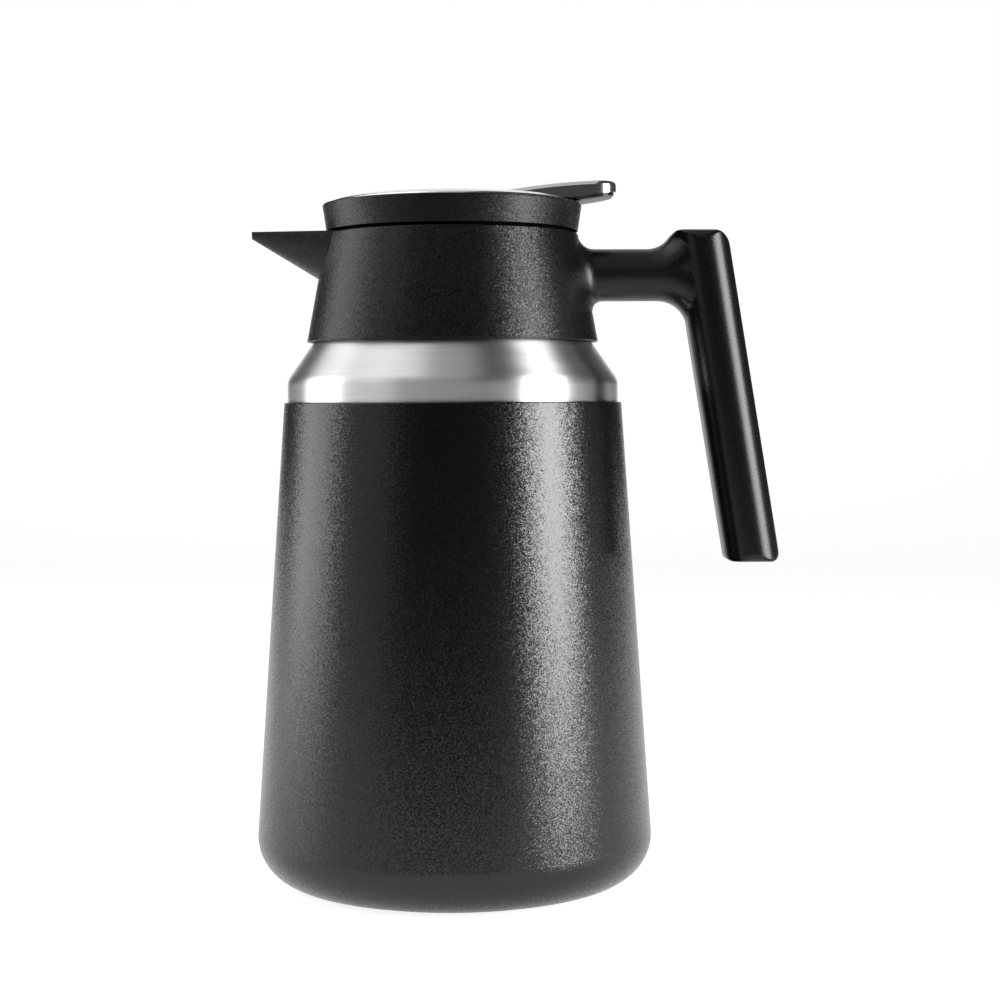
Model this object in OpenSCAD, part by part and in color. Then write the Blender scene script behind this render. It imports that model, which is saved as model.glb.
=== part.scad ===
// Thermal carafe: double-walled steel flask, plastic collar with spout and handle,
// and a push-in lid whose hinged top lifts a spring-loaded pouring valve.
// Millimetres. Z is up, the foot stands on z = 0, the spout points to -X and the handle to +X.

/* [Body] */
// Height of the coated body above the foot
body_h = 168.3; // [120:0.1:220]
// Radius of the coated body at its top edge
body_top_r = 59.8; // [56:0.1:64]
// Slope of the body's side from the vertical, in degrees
body_taper = 3.92; // [2:0.02:5]
// Radius of the flat bottom
bottom_r = 61; // [56:0.1:62]
// Steepness at which the rounded lower edge leaves the bottom, in degrees
bottom_angle = 25; // [15:1:35]
// Radius of the rounded lower edge
bottom_fillet = 16; // [8:0.5:16]
// Sheet thickness of the coated body
shell_wall = 1; // [0.6:0.1:1.2]
// Rounding of the coated body's top edge
lip_round = 0.5; // [0.2:0.05:0.6]
// Radius of the opening in the coated body's bottom
shell_hole_r = 52; // [46:0.5:55]
// Radius of the foot disc
foot_r = 57.6; // [55.5:0.1:60]
// Thickness of the foot disc
foot_h = 1; // [0.8:0.1:3]
// Radius of the inner groove under the foot disc
foot_groove_r = 40.3; // [30:0.1:44]
// Distance between the two grooves under the foot disc
foot_groove_pitch = 5.8; // [4:0.1:8]

/* [Steel shoulder] */
// Height of bright steel between the coated body and the collar
band_h = 21.2; // [18:0.1:30]
// Step inwards from the coated body to the steel
band_step = 1.23; // [1.22:0.01:2]
// Length of the steel skirt inside the coated body
skirt_h = 8; // [4:0.5:15]
// Slope of the shoulder from the vertical, in degrees
shoulder_angle = 34.6; // [30:0.2:40]
// Rounding where the shoulder's slope begins
shoulder_round = 4; // [1:0.5:8]
// Depth of the shoulder's slope under the collar's lower edge
collar_drop = 3.4; // [2.6:0.1:5]
// Rounding of the shoulder under the collar
crown_round = 12; // [6:0.5:14]
// Rounding from the shoulder into the neck
neck_fillet = 2.5; // [1:0.5:3]
// Height of the neck's root above the collar's lower edge
neck_root = 4; // [2:0.5:5]

/* [Vacuum flask] */
// Inner radius of the neck
neck_r = 35; // [32:0.1:36]
// Thickness of the inner flask, the shoulder and the bottom plate
steel_wall = 0.8; // [0.5:0.05:1]
// Space between the two walls of the neck
neck_space = 2.5; // [1.5:0.1:2.8]
// Vacuum space between the two walls of the body
vacuum_space = 5; // [3:0.1:7]
// Height of the inner flask's bottom above the foot disc
liner_lift = 13; // [11:0.5:20]
// Rounding of the inner flask's lower edge
liner_fillet = 14; // [6:0.5:16]
// Rounding of the inner flask under the shoulder
liner_round = 8; // [4:0.5:12]
// Rounding from the inner flask into its neck
liner_neck_fillet = 4; // [2:0.5:4.5]
// Radius of the bead rolled round the neck
bead_r = 1.5; // [1:0.1:1.7]
// Depth of the bead's centre under the neck's rim
bead_drop = 5.4; // [5:0.1:6]
// Height of the bottom plate's dish
dish_h = 4; // [2:0.5:5]
// Radius of the bottom plate's dish
dish_r = 46; // [30:0.5:46]
// Radius of the evacuation hole
evacuation_r = 1.5; // [1:0.1:2.5]
// Radius of the sealing pellet
pellet_r = 3.5; // [3:0.1:6]
// Thickness of the sealing pellet
pellet_h = 0.8; // [0.4:0.1:1.2]
// Radius of the getter cup
getter_r = 9; // [5:0.5:15]
// Thickness of the getter cup
getter_h = 2.5; // [1:0.1:3]

/* [Collar] */
// Height of the collar
collar_h = 38.1; // [34:0.1:50]
// Radius of the collar's lower edge
collar_low_r = 51.6; // [50:0.1:54]
// Radius of the collar's upper edge
collar_top_r = 44.5; // [44.2:0.1:45.5]
// Wall of the collar
collar_wall = 2.2; // [1.8:0.1:2.4]
// Depth of the pouring chamber inside the collar
chamber_depth = 16.3; // [15:0.1:18]
// Thickness of the chamber's floor
floor_h = 2.3; // [1.5:0.1:3]
// Radius of the hole in the chamber's floor
floor_hole_r = 36.2; // [36:0.1:37]
// Wall of the sleeve round the neck
sleeve_wall = 2.2; // [1.5:0.1:2.4]
// Thickness of the gasket on the flask's rim
gasket_h = 1; // [0.6:0.1:2]
// Height of the clamp ring's ledge
clamp_ledge_h = 2.4; // [1.5:0.1:2.8]
// Height of the clamp ring's wall above its ledge
clamp_wall_h = 2; // [1:0.1:3]

/* [Spout] */
// Distance of the spout's tip from the axis
spout_reach = 70.8; // [64:0.1:80]
// Slope of the spout's keel from the horizontal, in degrees
spout_keel = 31.2; // [29:0.2:36]
// Half angle of the spout seen from above, in degrees
spout_spread = 26.4; // [22:0.2:27]
// Distance that the tip is cut back from a sharp point
spout_blunt = 3.5; // [2:0.1:5]
// Wall of the spout
spout_wall = 2; // [1.6:0.1:2.4]
// Rise of the spout's edge towards the tip, in degrees
spout_rise = 1.6; // [0:0.1:3]
// Height of the spout's edge above the collar, where it leaves the collar
spout_edge = 0.3; // [0.1:0.05:0.5]

/* [Handle] */
// Distance of the grip's centre line from the axis, at the grip's top
handle_reach = 87.6; // [80:0.1:100]
// Height of the handle's top above the collar
handle_rise = 2; // [0:0.1:4]
// Vertical length of the grip with its end cap
grip_length = 118.9; // [90:0.1:150]
// Lean of the grip from the vertical, in degrees
grip_lean = 9.2; // [4:0.2:12]
// Thickness of the grip
grip_t = 19.3; // [17:0.1:22]
// Width of the grip
grip_w = 25; // [23:0.1:30]
// Rounding of the grip's outer top edge
grip_top_round = 7; // [3:0.5:8]
// Rounding of the grip's other edges
grip_edge_round = 2; // [0.5:0.1:3]
// Wall of the hollow grip
grip_wall = 2.6; // [2:0.1:4]
// Depth of the hollow in the grip
grip_hollow = 70; // [30:1:80]
// Height of the arm's centre line above the collar's lower edge
arm_lift = 23.7; // [22:0.1:26]
// Height of the arm's section
arm_t = 18.4; // [15:0.1:19]
// Width of the arm's section
arm_w = 21; // [19.2:0.1:22.8]
// Radius of the bend under the arm
arm_low_bend = 10.5; // [6:0.5:14]
// Radius of the bend above the arm
arm_top_bend = 9.6; // [6:0.2:12]
// Flare of the arm at the collar
arm_flare = 4.5; // [2:0.1:5]
// Height of the end cap
cap_h = 4.2; // [3:0.1:8]
// Distance that the end cap stands proud of the grip
cap_proud = 0.2; // [0:0.05:0.4]
// Length of the end cap's plug
cap_plug = 9; // [5:0.5:20]
// Distance between the two handle screws
screw_pitch = 11; // [9:0.1:12]
// Height of the handle screws above the chamber's floor
screw_lift = 5.2; // [4.5:0.1:6]
// Radius of the screws' shanks
screw_r = 1.5; // [1:0.1:2]
// Radius of the screws' heads
screw_head_r = 2.7; // [2.4:0.1:3.2]
// Height of the screws' heads
screw_head_h = 1.8; // [1:0.1:2]
// Length of the screws under their heads
screw_length = 15; // [10:0.5:20]

/* [Lid] */
// Height of the groove between the collar and the lid
lid_groove = 0.7; // [0.5:0.05:1.5]
// Height of the lid ring
ring_h = 9.6; // [9.2:0.1:14]
// Outward flare of the lid ring from its lower edge to its upper edge
ring_flare = 1.4; // [1.2:0.05:3.5]
// Width of the lid ring's upper edge
ring_lip = 1.4; // [1.2:0.05:2.5]
// Rounding of the lid ring's upper edge
ring_round = 0.5; // [0.2:0.05:0.6]
// Thickness of the lid's deck
deck_h = 2; // [1.5:0.1:2.4]
// Depth of the step that the lid's top sinks into
recess_depth = 3.2; // [3:0.05:3.6]
// Width of the ledge round the deck's bowl
bowl_ledge = 2.5; // [2.3:0.1:3.5]
// Depth of the spigot that centres the lid in the collar
spigot_h = 3.1; // [1.5:0.1:3.2]
// Wall of the spigot
spigot_wall = 2.2; // [1.5:0.1:2.5]
// Wall of the guide that the valve rod runs in
guide_wall = 2.1; // [1.2:0.1:2.2]
// Length of the rod guide under the deck
guide_h = 9; // [5:0.5:14]

/* [Stopper] */
// Depth of the plug under the flask's rim
plug_depth = 23.5; // [20:0.5:26]
// Radius of the plug
plug_r = 34; // [33:0.1:34.2]
// Wall of the plug's windowed cage
cage_wall = 2.4; // [1.5:0.1:2.6]
// Radius of the windowed cage
cage_r = 32.8; // [32:0.1:33]
// Number of pouring windows
window_count = 8; // [4:1:12]
// Width of the ribs between the windows
rib_w = 5; // [3:0.5:8]
// Thickness of the plug's bottom
plug_floor = 2.5; // [1.5:0.1:3]
// Radius of the valve opening
valve_hole_r = 12.5; // [9:0.1:13]
// Height of the raised valve seat
seat_h = 0.9; // [0.4:0.1:1.5]
// Width of the raised valve seat
seat_w = 1.3; // [0.8:0.1:1.8]
// Radius of the flange that rests on the chamber's floor
rest_r = 38; // [37.2:0.1:39]
// Thickness of the flange that rests on the chamber's floor
rest_h = 1.6; // [1:0.1:2.5]
// Gap between the lid's spigot and the flange under the deck
cap_flange_gap = 1.15; // [0.8:0.05:3]
// Thickness of the flange under the deck
cap_flange_h = 2.6; // [1.5:0.1:3]
// Height of the seal in the neck
seal_h = 4.6; // [3:0.1:6]
// Depth of the seal's top under the flask's rim
seal_drop = 4; // [2:0.1:6]
// Depth of the seal's groove
seal_groove = 2.4; // [1.5:0.1:2.8]

/* [Valve] */
// Radius of the valve rod
rod_r = 2.5; // [2:0.1:3]
// Radius of the rod's thinner lower end
rod_end_r = 1.9; // [1.3:0.1:1.9]
// Radius of the spring flange on the rod
rod_flange_r = 7.2; // [6.8:0.1:9]
// Thickness of the spring flange on the rod
rod_flange_h = 1.2; // [0.8:0.1:2]
// Radius of the cross pin in the rod's head
link_r = 1; // [0.6:0.1:1.2]
// Depth of the cross pin under the hinge pin
link_drop = 2.5; // [2:0.1:2.8]
// Wall of the rod's head above the cross pin
rod_head = 0.8; // [0.5:0.1:1]
// Length of the cross pin
link_length = 11.6; // [11.4:0.1:14]
// Radius of the valve seal
valve_seal_r = 15.5; // [15.4:0.1:18]
// Thickness of the valve seal
valve_seal_h = 2; // [1:0.1:3]
// Radius of the washer above the valve seal
washer_r = 12.8; // [8:0.1:15]
// Thickness of the washer
washer_h = 1.7; // [1:0.1:2.5]
// Width across the valve nut's corners
nut_d = 8.4; // [6:0.1:10]
// Height of the valve nut
nut_h = 2.6; // [1.5:0.1:3]
// Distance from the washer to the spring flange
spring_stand = 10.3; // [6:0.1:12]
// Wire radius of the valve spring
wire_r = 0.6; // [0.4:0.05:0.7]
// Number of turns of the valve spring
spring_turns = 6; // [4:1:8]

/* [Flap] */
// Distance of the hinge pin from the edge of the step that the lid's top sinks into
hinge_inset = 4.5; // [4.3:0.1:6]
// Depth of the hinge pin under the lid ring's upper edge
hinge_drop = 2.4; // [2.3:0.05:2.6]
// Radius of the hinge pin
hinge_r = 1.5; // [1:0.1:1.6]
// Wall of the barrel round the hinge pin
barrel_wall = 1.15; // [0.8:0.05:1.2]
// Length of the flap's hinge barrel
barrel_length = 18; // [10:0.5:18.4]
// Width of each hinge ear on the lid
ear_w = 3; // [2:0.1:3.2]
// Gap round the steel disc
disc_gap = 0.9; // [0.8:0.05:1.5]
// Height of the disc's edge above the lid ring
disc_rise = 1.4; // [1.3:0.05:2]
// Height of the disc's centre above its edge
disc_crown = 0.6; // [0.2:0.05:0.6]
// Rounding of the disc's edge
disc_round = 1.2; // [0.9:0.05:1.5]
// Sheet thickness of the disc and the lever
sheet = 0.8; // [0.5:0.05:0.8]
// Depth of the disc's turned-down rim
disc_rim = 2.8; // [1.8:0.05:2.9]
// Thickness of the carrier's plate under the disc
plate_h = 2.4; // [1.5:0.1:2.5]
// Thickness of each ear that holds the cross pin
link_ear_w = 1.4; // [1:0.1:1.5]

/* [Thumb lever] */
// Distance of the lever's end from the axis
lever_reach = 57.8; // [54:0.1:62]
// Width of the lever
lever_w = 24; // [20:0.1:25]
// Height of the lever's top above the disc's edge
lever_rise = 6.55; // [6:0.05:8]
// Radius of the lever's long curve
lever_curve = 227; // [180:1:260]
// Height of the lever's end face
lever_end_h = 3.85; // [3:0.05:4.5]
// Rounding of the lever's corners seen from above
lever_corner = 7.6; // [4:0.1:9]
// Rounding of the lever's upper edges
lever_edge = 1.2; // [0.9:0.05:1.5]
// Slope of the lever's lower edge, in degrees
lever_slope = 8.6; // [8:0.1:10]
// Depth that the plastic core shows under the steel
core_show = 1; // [0.4:0.05:1.1]
// Width of the core's post through the disc
post_w = 15; // [10:0.1:17]
// Distance of the post's front face from the axis
post_from = 14; // [12:0.5:18]
// Distance of the post's rear face from the hinge pin
post_gap = 5; // [5:0.1:10]

/* [Fits] */
// Gap between fixed pieces that seat on each other
seat_gap = 0.15; // [0.05:0.01:0.2]
// Gap between moving pieces that pass each other
pass_gap = 0.3; // [0.2:0.01:0.4]
// Radial clearance of a pin or rod that turns or slides
run_gap = 0.06; // [0.03:0.01:0.09]

/* [Hidden] */
$fn = 96;
// Overlap of shapes that are drawn together into one piece
eps = 0.02;
// Offset that keeps a cut clear of the line where another rounding starts
edge_gap = 0.05;

// Heights
coat_top = foot_h + body_h;
collar_z = coat_top + band_h;
collar_top = collar_z + collar_h;
chamber_z = collar_top - chamber_depth;
web_z = chamber_z - floor_h;
rim_z = web_z - gasket_h;
ring_z = collar_top + lid_groove;
ring_top = ring_z + ring_h;
disc_edge_z = ring_top + disc_rise;
disc_top_z = disc_edge_z + disc_crown;
deck_top = ring_z + deck_h;
recess_z = ring_top - recess_depth;
hinge_z = ring_top - hinge_drop;
bead_z = rim_z - bead_drop;
plate_z = foot_h + shell_wall;
dish_top = plate_z + dish_h;

// Radii
shoulder_r = body_top_r - band_step;
neck_out_r = neck_r + steel_wall + neck_space + steel_wall;
bead_out = bead_r + steel_wall / 2;
clamp_top = bead_z - bead_out - seat_gap;
sleeve_r = neck_out_r - steel_wall / 2 + bead_out + pass_gap;
sleeve_out_r = sleeve_r + sleeve_wall;
ring_low_r = collar_top_r;
ring_top_r = ring_low_r + ring_flare;
recess_r = ring_top_r - ring_lip;
disc_r = recess_r - disc_gap;
bowl_r = recess_r - bowl_ledge;
hinge_x = recess_r - hinge_inset;
spigot_r = collar_top_r - collar_wall - pass_gap - seat_gap;
cap_flange_r = spigot_r - spigot_wall - cap_flange_gap;
guide_r = rod_r + guide_wall;
barrel_r = hinge_r + run_gap + barrel_wall;
ear_y = barrel_length / 2 + pass_gap;

// Shoulder lines: a point and a direction for each
slope_dir = 90 + shoulder_angle;
crown_dir = 168;
slope_at = [collar_low_r, collar_z - collar_drop];
neck_root_at = [neck_out_r, collar_z + neck_root];
side_dir = 90 + body_taper;
side_at = [body_top_r, coat_top];
bottom_at = [bottom_r, foot_h];

// Valve heights
plug_z = rim_z - plug_depth;
seat_z = plug_z + plug_floor + seat_h;
valve_seal_z = seat_z + pass_gap;
washer_z = valve_seal_z + valve_seal_h;
rod_step_z = washer_z + washer_h;
spring_z = rod_step_z + spring_stand;
link_z = hinge_z - link_drop;
link_ear_y = rod_r + 1.2;
rod_top = link_z + link_r + rod_head;
spring_r = guide_r + wire_r + pass_gap + seat_gap;

// Stopper heights
rest_z = chamber_z + pass_gap;
window_z = rest_z + rest_h + 0.4;
window_h = ring_z - cap_flange_h - 0.4 - window_z;
groove_low = rim_z - seal_drop - seal_h;
groove_high = rim_z - seal_drop;
groove_r = plug_r - seal_groove;

// Spout's cone and the handle's screws
spout_tilt = atan((cos(spout_spread) - cos(spout_keel)) / sin(spout_keel));
spout_half = spout_keel - spout_tilt;
spout_top = collar_top + 2 * spout_edge;
screw_z = chamber_z + screw_lift;
screw_x = sqrt(pow(collar_r(screw_z) - collar_wall, 2) - pow(screw_pitch / 2, 2)) + 0.5;

// Lever's long curve and the core's post
lever_top_z = disc_edge_z + lever_rise;
lever_peak = lever_reach + 1.2;
lever_root = lever_peak - sqrt(2 * lever_curve * (lever_top_z - disc_top_z));
post_to = hinge_x - post_gap;

// Grip lines
handle_top = collar_top + handle_rise;
handle_low = handle_top - grip_length;
cap_z = handle_low + cap_h;
arm_z = collar_z + arm_lift;
arm_low = arm_z - arm_t / 2;
arm_top = arm_z + arm_t / 2;
grip_half = grip_t / 2 / cos(grip_lean);
grip_inner_at = [grip_x(0) - grip_half, 0];
low_bend_at = meet([0, arm_low - arm_low_bend], 0,
    beside(grip_inner_at, 90 + grip_lean, arm_low_bend - edge_gap), 90 + grip_lean);
arm_points = 32;
top_bend_at = [grip_x(handle_top) - grip_half - arm_top_bend + 0.6, arm_top + arm_top_bend];
top_notch_z = handle_top - grip_edge_round;
top_notch_x = top_bend_at[0]
    + sqrt(max(1, pow(arm_top_bend, 2) - pow(top_bend_at[1] - top_notch_z, 2)));

// Radius of the collar's outer face at height z
function collar_r(z) =
    collar_low_r + (collar_top_r - collar_low_r) * (z - collar_z) / collar_h;

// X of the grip's centre line at height z
function grip_x(z) = handle_reach + (handle_top - z) * tan(grip_lean);

// Direction of an angle in degrees
function heading(a) = [cos(a), sin(a)];

// Where the line through p at angle a meets the line through q at angle b
function meet(p, a, q, b) =
    p + heading(a) * cross(q - p, heading(b)) / cross(heading(a), heading(b));

// Point p moved t to the left of a line at angle a
function beside(p, a, t) = p + t * heading(a + 90);

function unit(v) = v / norm(v);
function flat(p) = [p[0], p[1]];
function corner(p, r) = [p[0], p[1], r];
function reversed(list) = [for (i = [len(list) - 1 : -1 : 0]) list[i]];

// Direction of a path just before and just after its point i
function entry(path, i) = unit(i > 0 ? flat(path[i]) - flat(path[i - 1])
    : flat(path[1]) - flat(path[0]));
function leave(path, i) = i < len(path) - 1 ? unit(flat(path[i + 1]) - flat(path[i]))
    : entry(path, i);

// A path of [r, z, rounding] corners moved t to its left, with its roundings kept parallel
function parallel(path, t) = [for (i = [0 : len(path) - 1])
    let (a = entry(path, i), b = leave(path, i),
        na = [-a[1], a[0]], nb = [-b[1], b[0]],
        q = flat(path[i]) + t * (na + nb) / (1 + na * nb))
    corner(q, path[i][2] > 0 ? max(path[i][2] - t * sign(cross(a, b)), 0.05) : 0)];

// Free length beside corner i for its rounding
function room(path, i) = min(
    norm(flat(path[i]) - flat(path[i - 1])) * (path[i - 1][2] > 0 ? 0.5 : 1),
    norm(flat(path[i + 1]) - flat(path[i])) * (path[i + 1][2] > 0 ? 0.5 : 1));

// Points of corner i, on an arc where it is rounded
function bend(path, i) =
    let (p = flat(path[i]), a = entry(path, i), b = leave(path, i),
        turn = atan2(cross(a, b), a * b))
    path[i][2] <= 0 || abs(turn) < 1 ? [p]
    : let (r = min(path[i][2], room(path, i) / tan(abs(turn) / 2)),
        t = r * tan(abs(turn) / 2),
        side = sign(turn),
        start = p - t * a,
        centre = start + side * r * [-a[1], a[0]],
        from = atan2(a[1], a[0]) - side * 90,
        n = max(2, ceil(abs(turn) / 6)))
    [for (k = [0 : n]) centre + r * heading(from + turn * k / n)];

function rounded(path) = [for (i = [0 : len(path) - 1]) each bend(path, i)];

// Sheet of thickness t to the left of a path
module sheet_of(path, t) {
    polygon(concat(rounded(path), reversed(rounded(parallel(path, t)))));
}

// Stadium outline, t thick along X and w wide along Y
module stadium(t, w) {
    for (side = [-1, 1])
        translate([0, side * (w - t) / 2])
            circle(d = t);
    square([t, w - t], center = true);
}

// Outline in the XZ plane, drawn out w wide along Y
module side_prism(w) {
    rotate([90, 0, 0])
        linear_extrude(w, center = true)
            children();
}

// Round bar along Y
module cross_bar(r, w) {
    rotate([90, 0, 0])
        cylinder(r = r, h = w, center = true);
}

module outer_shell() {
    knee = meet(bottom_at, bottom_angle, side_at, side_dir);
    path = [[shell_hole_r, foot_h, 0], corner(bottom_at, 0), corner(knee, bottom_fillet),
        corner(side_at, 0)];
    lip = [[body_top_r, coat_top, lip_round], [body_top_r - shell_wall, coat_top, 0]];
    outline = concat([path[0], path[1], path[2]], lip);
    color("#141415")
        rotate_extrude()
            polygon(concat(rounded(outline), reversed(rounded(parallel(path, shell_wall)))));
}

// Shoulder and neck, as corners of its outer face
function shoulder_path() = [
    [shoulder_r, coat_top - skirt_h, 0],
    corner(meet([shoulder_r, coat_top], 90, slope_at, slope_dir), shoulder_round),
    corner(meet(slope_at, slope_dir, neck_root_at, crown_dir), crown_round),
    corner(neck_root_at, neck_fillet),
    [neck_out_r, rim_z - steel_wall, 0]];

module shoulder_band() {
    color("#c9c9c8")
        rotate_extrude()
            union() {
                sheet_of(shoulder_path(), steel_wall);
                translate([neck_out_r - steel_wall / 2, bead_z])
                    circle(r = bead_out);
            }
}

module inner_flask() {
    inset = shell_wall + vacuum_space;
    top_inset = steel_wall + vacuum_space;
    side = beside(side_at, side_dir, inset);
    slope = beside(slope_at, slope_dir, top_inset);
    crown = beside(neck_root_at, crown_dir, top_inset);
    liner_z = foot_h + liner_lift;
    neck = [neck_r + steel_wall, rim_z - steel_wall];
    path = [[0, liner_z, 0],
        corner(meet([0, liner_z], 0, side, side_dir), liner_fillet),
        corner(meet(side, side_dir, slope, slope_dir), liner_round),
        corner(meet(slope, slope_dir, crown, crown_dir), liner_round),
        corner(meet(crown, crown_dir, neck, 90), liner_neck_fillet),
        corner(neck, 0)];
    color("#b9b9b8")
        rotate_extrude()
            union() {
                sheet_of(path, steel_wall);
                translate([neck_r, rim_z - steel_wall])
                    square([neck_out_r - neck_r, steel_wall]);
            }
}

module base_plate() {
    path = [[0, dish_top, 0], [dish_r, dish_top, 1.5],
        [shell_hole_r - 1.5, plate_z, 1.5], [shell_hole_r + 4, plate_z, 0]];
    color("#a9a9a8")
        difference() {
            rotate_extrude()
                sheet_of(path, steel_wall);
            translate([0, 0, dish_top - 1])
                cylinder(r = evacuation_r, h = steel_wall + 2);
        }
}

module vacuum_seal() {
    color("#8f8f8c")
        union() {
            translate([0, 0, dish_top - pellet_h])
                cylinder(r1 = pellet_r - 0.3, r2 = pellet_r, h = pellet_h);
            translate([0, 0, dish_top - eps])
                cylinder(r = evacuation_r - seat_gap / 2, h = steel_wall);
        }
}

module getter() {
    color("#75726c")
        rotate_extrude()
            translate([0, foot_h + liner_lift - getter_h])
                difference() {
                    square([getter_r, getter_h]);
                    translate([getter_r / 3, -eps])
                        square([getter_r / 3, getter_h / 2]);
                }
}

// Foot disc with two rings cut in its underside and a rib that centres it in the shell
module foot_pad() {
    rib_r = shell_hole_r - seat_gap;
    color("#0e0e0e")
        rotate_extrude()
            difference() {
                union() {
                    polygon([[0, 0], [foot_r - 0.3, 0], [foot_r, 0.3], [foot_r, foot_h],
                        [0, foot_h]]);
                    translate([rib_r - 2, foot_h - eps])
                        square([2, shell_wall * 0.8]);
                }
                for (i = [0, 1])
                    translate([foot_groove_r + i * foot_groove_pitch, -eps])
                        square([1.5, 0.35]);
            }
}

// Collar's section: tapered wall, chamber floor and the sleeve round the neck's bead
module collar_section() {
    inner_low = collar_low_r - collar_wall;
    polygon(rounded([[inner_low, collar_z + 0.8, 0], [inner_low + 0.6, collar_z, 0],
        [collar_low_r, collar_z, 0.4], [collar_top_r, collar_top, 0.6],
        [collar_top_r - collar_wall, collar_top, 0.3]]));
    polygon([[floor_hole_r, web_z], [collar_r(web_z) - collar_wall / 2, web_z],
        [collar_r(chamber_z) - collar_wall / 2, chamber_z], [floor_hole_r, chamber_z]]);
    translate([sleeve_r, clamp_top + seat_gap])
        square([sleeve_wall, web_z - clamp_top]);
}

// Cone with its point at distance x from the axis, opening towards the collar
module cone_from_tip(x) {
    length = (x - collar_top_r + 8) / cos(spout_tilt);
    translate([-x, 0, spout_top])
        rotate([0, 90 + spout_tilt, 0])
            cylinder(r1 = 0, r2 = length * tan(spout_half), h = length);
}

// Outside of the spout, cut level along its edge and blunt at its tip
module spout_body() {
    side = 2 * collar_low_r;
    difference() {
        cone_from_tip(spout_reach + spout_blunt);
        translate([-collar_top_r, 0, collar_top + spout_edge])
            rotate([0, spout_rise, 0])
                translate([-side / 2, -side / 2, 0])
                    cube([side, side, collar_h]);
        translate([-spout_reach - 2 * spout_blunt, -side / 2, collar_z])
            cube([2 * spout_blunt, side, 2 * collar_h]);
        rotate_extrude()
            polygon([[0, collar_z - 1], [collar_r(collar_z - 1) - collar_wall / 2, collar_z - 1],
                [collar_r(collar_top + 1) - collar_wall / 2, collar_top + 1],
                [0, collar_top + 1]]);
    }
}

// One child at each handle screw, with Z along the screw's axis from its head
module at_screws() {
    for (side = [-1, 1])
        translate([screw_x, side * screw_pitch / 2, screw_z])
            rotate([0, 90, 0])
                children();
}

module collar() {
    trough = spout_reach + spout_blunt - spout_wall / sin(spout_spread);
    color("#1a1a1b")
        difference() {
            union() {
                rotate_extrude()
                    collar_section();
                spout_body();
            }
            intersection() {
                cone_from_tip(trough);
                translate([-spout_reach, -collar_low_r, chamber_z])
                    cube([spout_reach - collar_top_r + 9, 2 * collar_low_r, collar_h]);
            }
            at_screws()
                cylinder(r = screw_r + seat_gap, h = 10);
            at_screws()
                translate([0, 0, -8])
                    cylinder(r = screw_head_r + pass_gap, h = 8);
        }
}

module collar_gasket() {
    color("#d8d8d6")
        translate([0, 0, rim_z])
            difference() {
                cylinder(r = neck_out_r, h = gasket_h);
                translate([0, 0, -1])
                    cylinder(r = floor_hole_r, h = gasket_h + 2);
            }
}

// Ring under the neck's bead, with a wall that holds the collar's sleeve
module clamp_ring() {
    out_r = sleeve_out_r + seat_gap + 2;
    color("#2a2a2a")
        rotate_extrude()
            union() {
                translate([neck_out_r + seat_gap, clamp_top - clamp_ledge_h])
                    square([out_r - neck_out_r - seat_gap, clamp_ledge_h]);
                translate([out_r - 2, clamp_top - eps])
                    square([2, clamp_wall_h]);
            }
}

// Moves its children to the grip's frame: origin at the grip's top, Z along its centre line
module along_grip() {
    translate([handle_reach, 0, handle_top])
        rotate([0, -grip_lean, 0])
            children();
}

// Straight grip, longer than the real one and thicker all round by grow
module grip_bar(grow) {
    spare = grip_t;
    along_grip()
        translate([0, 0, -grip_length - spare])
            linear_extrude(grip_length + 2 * spare)
                stadium(grip_t + 2 * grow, grip_w + 2 * grow);
}

// Outline in the YZ plane, drawn out along X over the grip
module front_prism() {
    translate([handle_reach, 0, 0])
        rotate([90, 0, 90])
            linear_extrude(2 * (grip_t + grip_length * sin(grip_lean)), center = true)
                children();
}

// Side outline that cuts the handle's flat top with its roundings
module handle_outline() {
    low = cap_z + seat_gap;
    polygon(rounded([[0, low, 0], [0, top_notch_z, 0], [top_notch_x, top_notch_z, 0],
        [top_notch_x, handle_top, grip_edge_round],
        [grip_x(handle_top) + grip_half + edge_gap, handle_top, grip_top_round],
        [grip_x(low) + grip_half + edge_gap, low, 0]]));
}

// Front outline of the grip from low to high, with its corners rounded
module grip_front(low, high, round_low, round_high) {
    h = grip_w / 2 + 0.4;
    polygon(rounded([[0, low, 0], [h, low, round_low], [h, high, round_high],
        [-h, high, round_high], [-h, low, round_low], [-0.1, low, 0]]));
}

// Surface through rings of as many points each, closed at both ends
module skin(rings) {
    n = len(rings[0]);
    m = len(rings);
    mids = [for (ring = [rings[0], rings[m - 1]]) (ring[0] + ring[n / 2]) / 2];
    sides = [for (i = [0 : m - 2], j = [0 : n - 1])
        let (a = i * n + j, b = i * n + (j + 1) % n)
        each [[a, b + n, b], [a, a + n, b + n]]];
    ends = [for (j = [0 : n - 1])
        each [[m * n, j, (j + 1) % n],
            [m * n + 1, (m - 1) * n + (j + 1) % n, (m - 1) * n + j]]];
    polyhedron(points = concat([for (ring = rings) each ring], mids), faces = concat(sides, ends));
}

// Points round the arm's section grown by g, each as [y, height] from its centre
function arm_edge(g) =
    let (r = arm_t / 2 + g, shift = (arm_w - arm_t) / 2)
    [for (j = [0 : arm_points - 1])
        let (a = (j + 0.5) * 360 / arm_points)
        [sign(cos(a)) * shift + r * cos(a), r * sin(a)]];

// Ring of the arm's section that rises from the collar's wall
function root_ring(g, rise) = [for (p = arm_edge(g))
    let (z = arm_z + p[1])
    [sqrt(pow(collar_r(z), 2) - pow(p[0], 2)) + rise, p[0], z]];

// Ring of the arm's section at angle a round a bend's centre, which lies under or over the arm
function bend_ring(at, r, a, side, g) = [for (p = arm_edge(g))
    let (d = r + arm_t / 2 + side * p[1])
    [at[0] + d * cos(a), p[0], at[1] + d * sin(a)]];

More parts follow.
